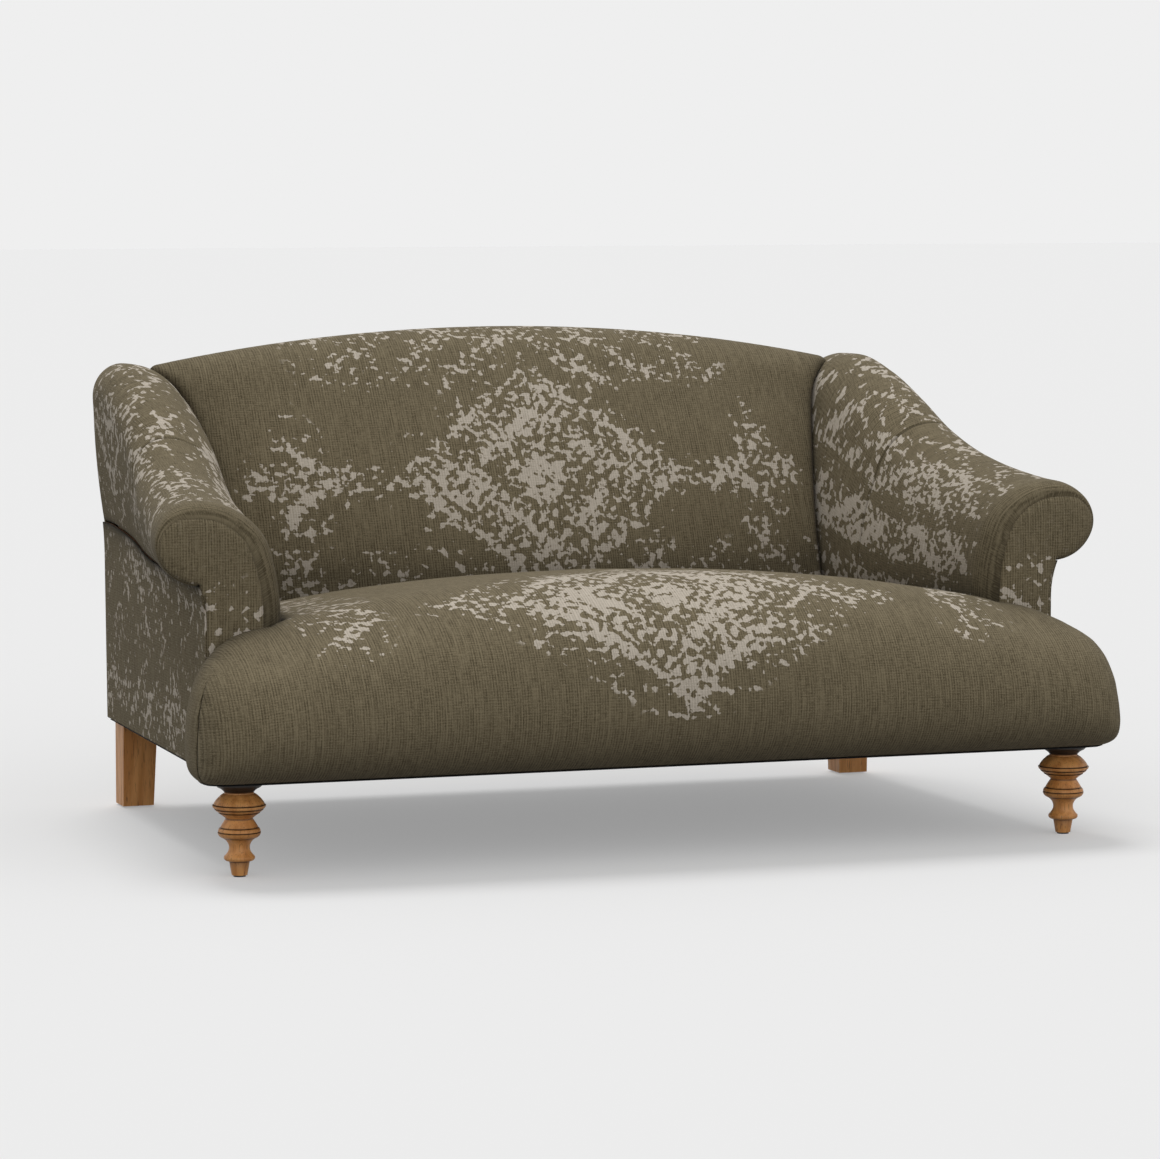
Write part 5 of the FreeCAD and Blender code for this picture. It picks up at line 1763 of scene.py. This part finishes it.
@dataclass(frozen=True)
class SeatUpholstery:
    """The fixed seat: its crown between the arms and the nose that runs out in front of them.

    Past the arms' inner faces the nose is a fan of rays from the inner corner, where the facing
    meets the deck. Each ray blends the front's profile into the end's, and a seam parts the cover
    from the end panel.
    """

    form: SeatForm = SeatForm()
    arm: ArmForm = ArmForm()
    back: BackForm = BackForm()
    pad_depth: float = 0.022
    panel_depth: float = 0.0026
    clear: float = 0.004
    deck_line: float = 0.44
    deck_rows: int = 50
    centre: Point = (-0.30, 0.25)
    inner_columns: int = 64
    return_columns: int = 3
    edge_round: float = 0.012
    seam_round: float = 0.0040
    seam_angle: float = 48.0
    seam_share: float = 0.62
    seam_fade_shares: Point = (0.42, 0.58)
    # How far to each side of the seam's ray its painted shade reaches, in degrees
    seam_dark_angle: float = 0.75
    pull_in: float = 0.026
    pull_reach: float = 0.13
    pull_power: float = 1.6
    pull_start: float = 0.06
    front_widest_share: float = 0.26
    end_widest_share: float = 0.12
    end_half: float = 0.893
    return_half: float = 0.829
    foot_power: float = 9.0
    foot_share: float = 0.36
    corner_power: float = 4.1
    crown_power: float = 2.3
    crown_share: float = 0.50
    end_out_shares: tuple[float, ...] = (
        0.895, 0.945, 0.972, 0.986, 0.996, 1.0, 0.990, 0.945, 0.905, 0.85, 0.755, 0.614, 0.402,
        0.25, 0.0,
    )
    end_up_shares: tuple[float, ...] = (
        0.0, 0.020, 0.045, 0.075, 0.130, 0.22, 0.38, 0.54, 0.62, 0.70, 0.775, 0.853, 0.930,
        0.968, 1.0,
    )
    soften_step: float = 0.003
    soften_passes: int = 4
    motif_depth: float = 0.40
    middle_print: Lozenge = Lozenge(1.0, 0.46, 0.30)
    strip_print: float = 0.75
    strip_places: Point = (0.60, 0.05)
    strip_start: Point = (0.24, 0.34)
    print_start: Point = (12 * REPEAT[0], 5 * REPEAT[1])
    end_print_start: float = 3.0
    # Painted shade where the cover tucks in at the arms and the back, fading in up the nose's end
    tuck_shades: tuple[Shade, Shade] = (Shade(0.90, 0.007), Shade(0.28, 0.045))
    tuck_start_shares: Point = (0.5, 0.8)
    hem: float = 0.004
    under_columns: int = 20
    under_net: float = 0.030
    sag: float = 0.003
    sag_reach: float = 0.20

    @property
    def lip(self) -> float:
        """Where the nose ends, just in front of the arm facings."""
        return self.form.footprint.facing - self.form.footprint.room

    @property
    def inner(self) -> float:
        """How far out the deck goes at the facings."""
        wall = self.arm.face_at(self.form.footprint.facing, self.deck_line)
        return round(wall - self.clear, 3)

    @functools.lru_cache(maxsize=None)
    def split(self, x: float) -> float:
        """The length along a section at which it reaches the arm facings."""
        line = self.form.section(x)
        for length, (y, z) in zip(line.lengths, line.points):
            if y >= self.lip and z > self.form.nose_height:
                return length
        return line.length

    @functools.lru_cache(maxsize=None)
    def rear_end(self, x: float) -> float:
        """The length along a section at which it meets the inside back."""
        line = self.form.section(x)
        rib = self.back.section(x).points
        reach = 10 * MM
        for length, (y, z) in zip(line.lengths, line.points):
            if y < 0 or z < self.form.nose_height:
                continue
            below = [place for place, height in rib if height <= z + reach]
            wall = below[-1] if below else rib[0][0]
            if y >= wall - self.clear:
                return length
        return line.length

    @functools.lru_cache(maxsize=None)
    def end_profile(self) -> Outline:
        """The end's own profile, from the bottom edge to the inner corner, in X and Z.

        Returns:
            The profile.
        """
        base = self.form.footprint.base
        tall = self.form.section(self.inner).at(self.split(self.inner))[1] - base
        reach = self.end_half - self.inner
        points = [
            (self.inner + reach * out, base + tall * up)
            for out, up in zip(self.end_out_shares, self.end_up_shares)
        ]
        return Outline(points).softened(self.soften_step, self.soften_passes)

    def fan(self, turn: float, share: float) -> tuple[Place, Point]:
        """A place on the nose's end.

        Args:
            turn: the ray's angle, 0 straight ahead and 90 out to the side.
            share: how far up the profile it lies.

        Returns:
            The place on the right-hand side, and the outward direction of the end's profile there.
        """
        inner = self.inner
        ahead_y, ahead_z = self.form.section(inner).at(self.split(inner) * share)
        widest = self.front_widest_share
        if share < widest:
            part = share / widest * self.end_widest_share
        else:
            part = blend(self.end_widest_share, 1.0, (share - widest) / (1.0 - widest))
        end = self.end_profile()
        side_x, side_z = end.at(end.length * part)
        ahead = max(self.lip - ahead_y, MM / 10)
        aside = max(side_x - inner, MM / 10)
        angle = math.radians(turn)
        power = blend(self.corner_power, self.crown_power, ease(share, self.crown_share, 1.0))
        power = blend(power, self.foot_power, max(1.0 - share / self.foot_share, 0.0) ** 2)
        spread = (math.cos(angle) / ahead) ** power + (math.sin(angle) / aside) ** power
        reach = spread ** (-1.0 / power)
        x = inner + reach * math.sin(angle)
        y = self.lip - reach * math.cos(angle)
        return (x, y, blend(ahead_z, side_z, turn / 90.0)), end.outward(end.length * part)

    def rows(self) -> list[float]:
        """Shares of the nose's profile for the lines of vertices, close at the seam.

        Returns:
            The shares, from the bottom edge up.
        """
        seam = self.seam_share
        near = 0.010
        return stops(
            (0.0, 0.12, 0.008), (0.12, seam - near, 0.012), (seam - near, seam, 0.002),
            (seam, seam + near, 0.002), (seam + near, 1.0, 0.012),
        )

    def turns(self) -> list[float]:
        """Angles of the fan's rays, close at the seam.

        Returns:
            The angles in degrees, from straight ahead to the side.
        """
        seam = self.seam_angle
        near = 2.5
        return stops(
            (0.0, seam - near, 2.4), (seam - near, seam, 0.5), (seam, seam + near, 0.5),
            (seam + near, 86.0, 2.4), (86.0, 90.0, 0.5),
        )

    def returns(self) -> list[float]:
        """Shares of the way back from the fan's last ray to the arm's outer face."""
        return [k / self.return_columns for k in range(1, self.return_columns + 1)]

    def seam_shown(self, share: float) -> float:
        """How deep the end panel's seam lies, level with the cloth near its top."""
        return 1.0 - ease(share, *self.seam_fade_shares)

    def seam_crease(self, turn: float, share: float) -> float:
        """The painted shade along the seam at a ray of the fan."""
        near = max(1.0 - abs(turn - self.seam_angle) / self.seam_dark_angle, 0.0)
        return self.seam_shown(share) * near

    def nose_end(self, turn: float, extra: float, share: float) -> Place:
        """A place on the nose's end or its return to the arm, with its edges rounded in.

        Args:
            turn: the ray's angle.
            extra: 0 on the fan, and up to 1 along the return.
            share: how far up the profile it lies.

        Returns:
            The place on the right-hand side.
        """
        (x, y, z), (out_x, out_z) = self.fan(turn, share)
        gap = self.lip - y
        near = max(1.0 - gap / self.pull_reach, 0.0) ** self.pull_power
        x -= self.pull_in * near * ease(x, self.inner + self.pull_start, self.end_half)
        fold = quarter_round(gap, self.edge_round)
        x -= out_x * fold
        z -= out_z * fold
        seam = abs(math.radians(turn - self.seam_angle)) * math.hypot(x - self.inner, gap)
        draw = quarter_round(seam, self.seam_round) * self.seam_shown(share)
        angle = math.radians(turn)
        x -= draw * math.sin(angle)
        y += draw * math.cos(angle)
        if extra > 0:
            return blend(x, min(x, self.return_half), extra), self.lip, z
        return x, y, z

    def pad(self) -> bpy.types.Object:
        """The seat's cover over its foam, in one piece over the nose and between the arms.

        Returns:
            The pad as a sheet.
        """
        half = [(k / self.inner_columns, 0.0, 0.0) for k in range(self.inner_columns + 1)]
        rays = [(1.0, turn, 0.0) for turn in self.turns()[1:]]
        sides = half + rays + [(1.0, 90.0, extra) for extra in self.returns()]
        lines = [(-share, turn, extra) for share, turn, extra in sides[:0:-1]] + sides
        heights = self.rows()
        panel = Panel("seat_pad", len(lines), len(heights) + self.deck_rows)

        def surface(column: int, row: int) -> Vertex | None:
            """The vertex at a column and row, where the cover reaches."""
            share, turn, extra = lines[column]
            deck_row = row - len(heights) + 1
            if turn == 0:
                if deck_row > 0:
                    return self.deck_vertex(share, deck_row / self.deck_rows)
                return self.front_vertex(share, heights[row])
            if deck_row > 0:
                return None
            return self.corner_vertex(math.copysign(1.0, share), turn, extra, heights[row])

        panel.map(surface)
        mid_y, mid_z = self.centre
        return panel.done(lambda place: Vector((place.x / 5, place.y - mid_y, place.z - mid_z)))

    def corner_vertex(
        self, sign: float, turn: float, extra: float, height: float
    ) -> Vertex | None:
        """A vertex of the cover on the nose's end.

        Args:
            sign: -1 on the left and 1 on the right.
            turn: the ray's angle.
            extra: how far along the return it lies.
            height: how far up the profile it lies.

        Returns:
            The vertex, or nothing where the end panel takes over.
        """
        if turn > self.seam_angle and height < self.seam_share - MM:
            return None
        x, y, z = self.nose_end(turn, extra, height)
        distance = self.split(self.inner) * height
        # Painted shade along the end's seam and where the nose tucks in against the arm
        tuck = self.tuck_crease(self.lip - y) * ease(height, *self.tuck_start_shares)
        crease = max(self.seam_crease(turn, height), tuck)
        cloth = self.cloth_at(sign * x, distance)
        return Vertex((sign * x, y, z), cloth, self.wear(x, distance), crease)

    def front_vertex(self, share: float, height: float) -> Vertex:
        """A vertex of the nose between the arms, by its shares across and up the profile.

        Args:
            share: from -1 to 1 across.
            height: from 0 to 1 up the profile.

        Returns:
            The vertex.
        """
        x = share * self.inner
        near = round(abs(x), 3)
        distance = self.split(near) * height
        y, z = self.form.section(near).at(distance)
        gap = math.hypot(self.inner - abs(x), self.lip - y)
        z -= quarter_round(gap, self.edge_round)
        cover = self.wear(x, distance)
        # Painted shade where the nose meets the arm's facing
        return Vertex((x, y, z), self.cloth_at(x, distance), cover, self.tuck_crease(gap))

    def deck_vertex(self, share: float, step: float) -> Vertex:
        """A vertex of the deck, by its shares across and from the facings to the back.

        Args:
            share: from -1 to 1 across.
            step: from 0 to 1 towards the back.

        Returns:
            The vertex.
        """
        near = round(abs(share * self.inner), 3)
        length = blend(self.split(near), self.rear_end(near), step)
        wall = self.arm.face_at(*self.form.section(near).at(length)) - self.clear
        x = share * wall
        near = round(abs(x), 3)
        rear = self.rear_end(near)
        distance = blend(self.split(near), rear, step)
        y, z = self.form.section(near).at(distance)
        gap = (1.0 - abs(share)) * wall
        z -= quarter_round(gap, self.edge_round) + quarter_round(rear - distance, self.edge_round)
        # Painted shade where the deck tucks in at the arms and the back
        crease = max(self.tuck_crease(gap), self.tuck_crease(rear - distance))
        return Vertex((x, y, z), self.cloth_at(x, distance), self.wear(x, distance), crease)

    def tuck_crease(self, gap: float) -> float:
        """The painted shade on the cloth at a distance from where it is tucked in."""
        return sum(shade.at(gap) for shade in self.tuck_shades)

    def cloth_at(self, x: float, distance: float) -> Point:
        """A place on the cloth, from its place across and along the seat."""
        return x + self.print_start[0], distance - self.motif_depth + self.print_start[1]

    def wear(self, x: float, distance: float) -> float:
        """How much of the print shows on the seat."""
        middle = self.middle_print.at(x, distance - self.motif_depth)
        strip = self.strip_print * hump(abs(x), *self.strip_places)
        return max(middle, strip * ease(distance, *self.strip_start))

    def end(self) -> bpy.types.Object:
        """The panel over the right end of the nose, with its return to the arm's outer face.

        Returns:
            The right-hand panel as a sheet.
        """
        heights = [height for height in self.rows() if height <= self.seam_share + MM / 10]
        lines = [(turn, 0.0) for turn in self.turns() if turn >= self.seam_angle - MM]
        lines += [(90.0, extra) for extra in self.returns()]
        panel = Panel("right_seat_end", len(lines), len(heights))

        def surface(column: int, row: int) -> Vertex:
            """The vertex at a column and row."""
            turn, extra = lines[column]
            x, y, z = self.nose_end(turn, extra, heights[row])
            # Painted shade along the seam
            crease = self.seam_crease(turn, heights[row])
            return Vertex((x, y, z), (y + self.end_print_start, z), 0.0, crease)

        panel.map(surface)
        return panel.done(lambda _: Vector((1.0, 0.0, 0.0)))

    def dust_outline(self) -> Outline:
        """The edge of the dust cover, a little inside the bottom edges of the covers.

        Returns:
            The edge in X and Y.
        """
        footprint = self.form.footprint
        right = []
        for k in range(self.under_columns + 1):
            x = self.inner * k / self.under_columns
            right.append((x, self.form.section(round(x, 3)).at(0.0)[0] + self.hem))
        for turn in self.turns()[1::3]:
            x, y, _ = self.nose_end(turn, 0.0, 0.0)
            right.append((x - self.hem, min(y + self.hem, self.lip)))
        right.append((right[-1][0], self.lip))
        right.append((self.arm.stem_half - self.hem, self.lip))
        rear = footprint.rear_plane(footprint.base) - self.hem
        right.append((self.arm.stem_rear_half - self.hem, rear))
        return Outline([(-x, y) for x, y in right[:0:-1]] + right)

    def dust(self, finishes: Finishes) -> None:
        """The black cloth tacked under the frame, a little inside the covers' edges and sagging a
        little.
        """
        edge = self.dust_outline()
        base = self.form.footprint.base - self.hem

        def lift(point: Point, depth: float) -> Place:
            """A vertex's place, by its way in from the edge."""
            sag = self.sag * min(depth / self.sag_reach, 1.0) ** 2
            return point[0], point[1], base - sag

        under = flat_panel(
            "under_cloth", edge, self.under_net, lift, lambda _: 0.0, Vector((0.0, 0.0, -1.0))
        )
        thicken(under, MM)
        dress(under, finishes.by_slot["dust_cloth"])
        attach(under, "root")
        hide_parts("dust_cover")
        edge.spans
        edge.area

    def build(self, finishes: Finishes) -> None:
        """Makes the pad, the two ends and the cloth underneath."""
        covers = ("seat_cover", "seat_foam", "nose_foam")
        cover_piece(self.pad(), finishes, self.pad_depth, 0.9, *covers)
        end = self.end()
        for side in Side:
            item = on_side(side, end)
            cover_piece(item, finishes, self.panel_depth, 0.9, f"{side.label}_seat_border")
        self.dust(finishes)
        log.info("seat upholstered")


# Feet and frame


@dataclass(frozen=True)
class TurnedLeg:
    """A turned front leg with beads, coves and a tapered foot."""

    bead: float = 0.050
    low: float = 0.003
    high: float = 0.169
    segments: int = 96
    foot_share: float = 0.28
    neck_share: float = 0.86
    # Heights where painted shade darkens the neck up under the seat
    grime_shares: Point = (0.875, 0.90)
    arc_steps: int = 8
    sharp_angle: float = 38.0

    # Height and radius at the end of each stretch, and a point on the way where it is curved
    profile_shares: tuple[tuple[float, float, Point | None], ...] = (
        (0.140, 0.361, None), (0.147, 0.350, None), (0.153, 0.440, None),
        (0.201, 0.540, (0.174, 0.545)), (0.262, 0.390, (0.229, 0.455)),
        (0.340, 0.405, (0.300, 0.370)), (0.392, 0.560, (0.370, 0.470)), (0.399, 0.590, None),
        (0.457, 0.766, (0.430, 0.735)), (0.462, 0.700, None), (0.467, 0.755, None),
        (0.504, 0.705, (0.486, 0.742)), (0.509, 0.630, None), (0.514, 0.670, None),
        (0.603, 0.485, (0.565, 0.570)), (0.610, 0.485, None), (0.666, 0.735, (0.640, 0.605)),
        (0.671, 0.670, None), (0.676, 0.750, None), (0.704, 0.868, (0.691, 0.822)),
        (0.709, 0.790, None), (0.714, 0.880, None), (0.750, 0.950, (0.733, 0.940)),
        (0.755, 0.865, None), (0.760, 0.910, None), (0.839, 0.705, (0.803, 0.822)),
        (0.876, 0.530, (0.862, 0.620)), (0.888, 0.522, None), (0.942, 0.760, (0.914, 0.600)),
        (0.970, 0.860, None),
    )
    groove_shares: tuple[float, ...] = (0.147, 0.399, 0.462, 0.509, 0.606, 0.671, 0.709, 0.755)
    groove_reach_share: float = 0.010

    def profile(self) -> list[Point]:
        """Radius and height from the glide to the plate.

        Returns:
            The points.
        """

        def spot(height: float, radius: float) -> Point:
            """A point of the profile from its shares."""
            return self.bead * radius, blend(self.low, self.high, height)

        points = [(self.bead * self.foot_share, self.low)]
        for height, radius, middle in self.profile_shares:
            end = spot(height, radius)
            if middle is None:
                points.append(end)
            else:
                points += arc_through(points[-1], spot(*middle), end, self.arc_steps)
        points.append((self.bead * self.neck_share, self.high))
        return points

    def build(self, side: Side, finishes: Finishes) -> None:
        """Turns a side's leg and stands it where the frame's own one stands."""
        node = f"front_{side.label}_leg"
        low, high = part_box(node)
        bm = bmesh.new()
        points = self.profile()
        verts = [bm.verts.new((0.0, 0.0, points[0][1]))]
        verts += [bm.verts.new((radius, 0.0, height)) for radius, height in points]
        verts.append(bm.verts.new((0.0, 0.0, points[-1][1])))
        edges = [bm.edges.new(pair) for pair in zip(verts, verts[1:])]
        bmesh.ops.spin(
            bm, geom=verts + edges, cent=(0.0, 0.0, 0.0), axis=(0.0, 0.0, 1.0),
            dvec=(0.0, 0.0, 0.0), angle=math.tau, steps=self.segments,
            use_merge=True, use_duplicate=False,
        )
        bmesh.ops.remove_doubles(bm, verts=bm.verts, dist=MM / 20)
        bmesh.ops.recalc_face_normals(bm, faces=bm.faces)
        # Painted shade in the grooves and on the neck up under the seat
        grime = bm.verts.layers.float.new("grime")
        for vertex in bm.verts:
            share = (vertex.co.z - self.low) / (self.high - self.low)
            near = min(abs(share - groove) for groove in self.groove_shares)
            near = 1.0 - near / self.groove_reach_share
            vertex[grime] = max(near, ease(share, *self.grime_shares))
        centre = ((low.x + high.x) / 2, (low.y + high.y) / 2, 0.0)
        bmesh.ops.translate(bm, vec=centre, verts=bm.verts)
        item = finished(bm, f"front_{side.label}_turned_leg")
        item.data.set_sharp_from_angle(angle=math.radians(self.sharp_angle))
        dress(item, finishes.by_slot["turned_oak"])
        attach(item, "root")
        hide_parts(node)


class HiddenFrame:
    """Everything that stays as the frame has it, given its finish by slot."""

    def dress(
        self, nodes: dict[str, bpy.types.Object], record: dict, finishes: Finishes
    ) -> None:
        """Gives each node the finish of its material slot."""
        slots = {part["node"]: part["material_slot"] for part in record["subparts"]}
        for name, item in nodes.items():
            finish = finishes.by_slot.get(slots[name], finishes.cover)
            for slot in item.material_slots:
                slot.material = finish
        log.info("%d nodes of the frame dressed", len(nodes))


# Setting


@dataclass(frozen=True)
class Studio:
    """The plain pale setting, its light and the camera."""

    backdrop: float = 0.863
    shadow: float = 0.295
    floor_tone: float = 0.535
    bounce_tone: float = 0.21
    sky: float = 0.50
    front_glow: float = 0.68
    front_way: Place = (0.0, -0.96, 0.28)
    sun: float = 1.30
    sun_tilt: float = 22.0
    sun_spread: float = 27.0
    eye: Place = (-2.8986, -8.2435, 1.2505)
    yaw: float = 19.31
    pitch: float = 5.13
    focal_pixels: float = 4607.56
    frame_pixels: float = 1160.0
    sensor: float = 36.0
    floor_half: float = 60.0
    far: float = 200.0

    def camera(self) -> None:
        """Stands the camera where the photograph was taken from."""
        data = bpy.data.cameras.new("camera")
        data.sensor_fit = "HORIZONTAL"
        data.sensor_width = self.sensor
        data.lens = self.focal_pixels / self.frame_pixels * self.sensor
        data.clip_end = self.far
        item = bpy.data.objects.new("camera", data)
        bpy.context.scene.collection.objects.link(item)
        item.location = self.eye
        item.rotation_euler = (math.radians(90.0 - self.pitch), 0.0, math.radians(-self.yaw))
        bpy.context.scene.camera = item

    def light(self) -> None:
        """One wide sun from above and a little in front, and a sky that glows more from the front.
        """
        data = bpy.data.lights.new("sun", "SUN")
        data.energy = self.sun
        data.angle = math.radians(self.sun_spread)
        item = bpy.data.objects.new("sun", data)
        item.rotation_euler = (math.radians(-self.sun_tilt), 0.0, 0.0)
        bpy.context.scene.collection.objects.link(item)
        world = bpy.data.worlds.new("studio")
        bpy.context.scene.world = world
        world.use_nodes = True
        nodes = Nodes(world.node_tree)
        plain = world.node_tree.nodes["Background"]
        nodes.feed((1.0, 1.0, 1.0, 1.0), plain.inputs["Color"])
        looked = nodes.add("ShaderNodeTexCoord").outputs["Generated"]
        way = nodes.fed("ShaderNodeVectorMath", (looked, self.front_way), operation="DOT_PRODUCT")
        ahead = Value(nodes, way.outputs["Value"]).most(0.0)
        glow = ahead * ahead * self.front_glow + self.sky
        strength = nodes.scaled(seen_rays(nodes), (0.0, 1.0), (glow, self.backdrop))
        nodes.feed(strength, plain.inputs["Strength"])

    def floor(self) -> None:
        """A pale floor that keeps the sofa's shadow."""
        bm = bmesh.new()
        bmesh.ops.create_grid(bm, x_segments=1, y_segments=1, size=self.floor_half)
        item = finished(bm, "floor")
        coat = Coat("Floor")
        seen = seen_rays(coat)
        matt = coat.add("ShaderNodeBsdfDiffuse")
        tone = coat.scaled(seen, (0.0, 1.0), (self.bounce_tone, self.floor_tone))
        coat.feed(tone, matt.inputs["Color"])
        glow = coat.add("ShaderNodeEmission")
        coat.feed(seen * self.shadow, glow.inputs["Strength"])
        both = coat.fed("ShaderNodeAddShader", (matt.outputs[0], glow.outputs[0]))
        coat.feed(both.outputs[0], coat.tree.nodes["Material Output"].inputs["Surface"])
        coat.tree.nodes.remove(coat.shader)
        dress(item, coat.material)

    def build(self) -> None:
        """Sets everything up."""
        bpy.context.scene.view_settings.view_transform = "Standard"
        self.camera()
        self.light()
        self.floor()
        log.info("studio ready")


def main() -> None:
    """Loads the frame and builds the sofa's pieces round it."""
    logging.basicConfig(level=logging.INFO, format="%(message)s")
    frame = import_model()
    Studio().build()
    finishes = Finishes()
    HiddenFrame().dress(frame["nodes"], frame["record"], finishes)
    ArmUpholstery().build(finishes)
    BackUpholstery().build(finishes)
    SeatUpholstery().build(finishes)
    for side in Side:
        TurnedLeg().build(side, finishes)
    log.info("front legs turned")


if __name__ == "__main__":
    main()
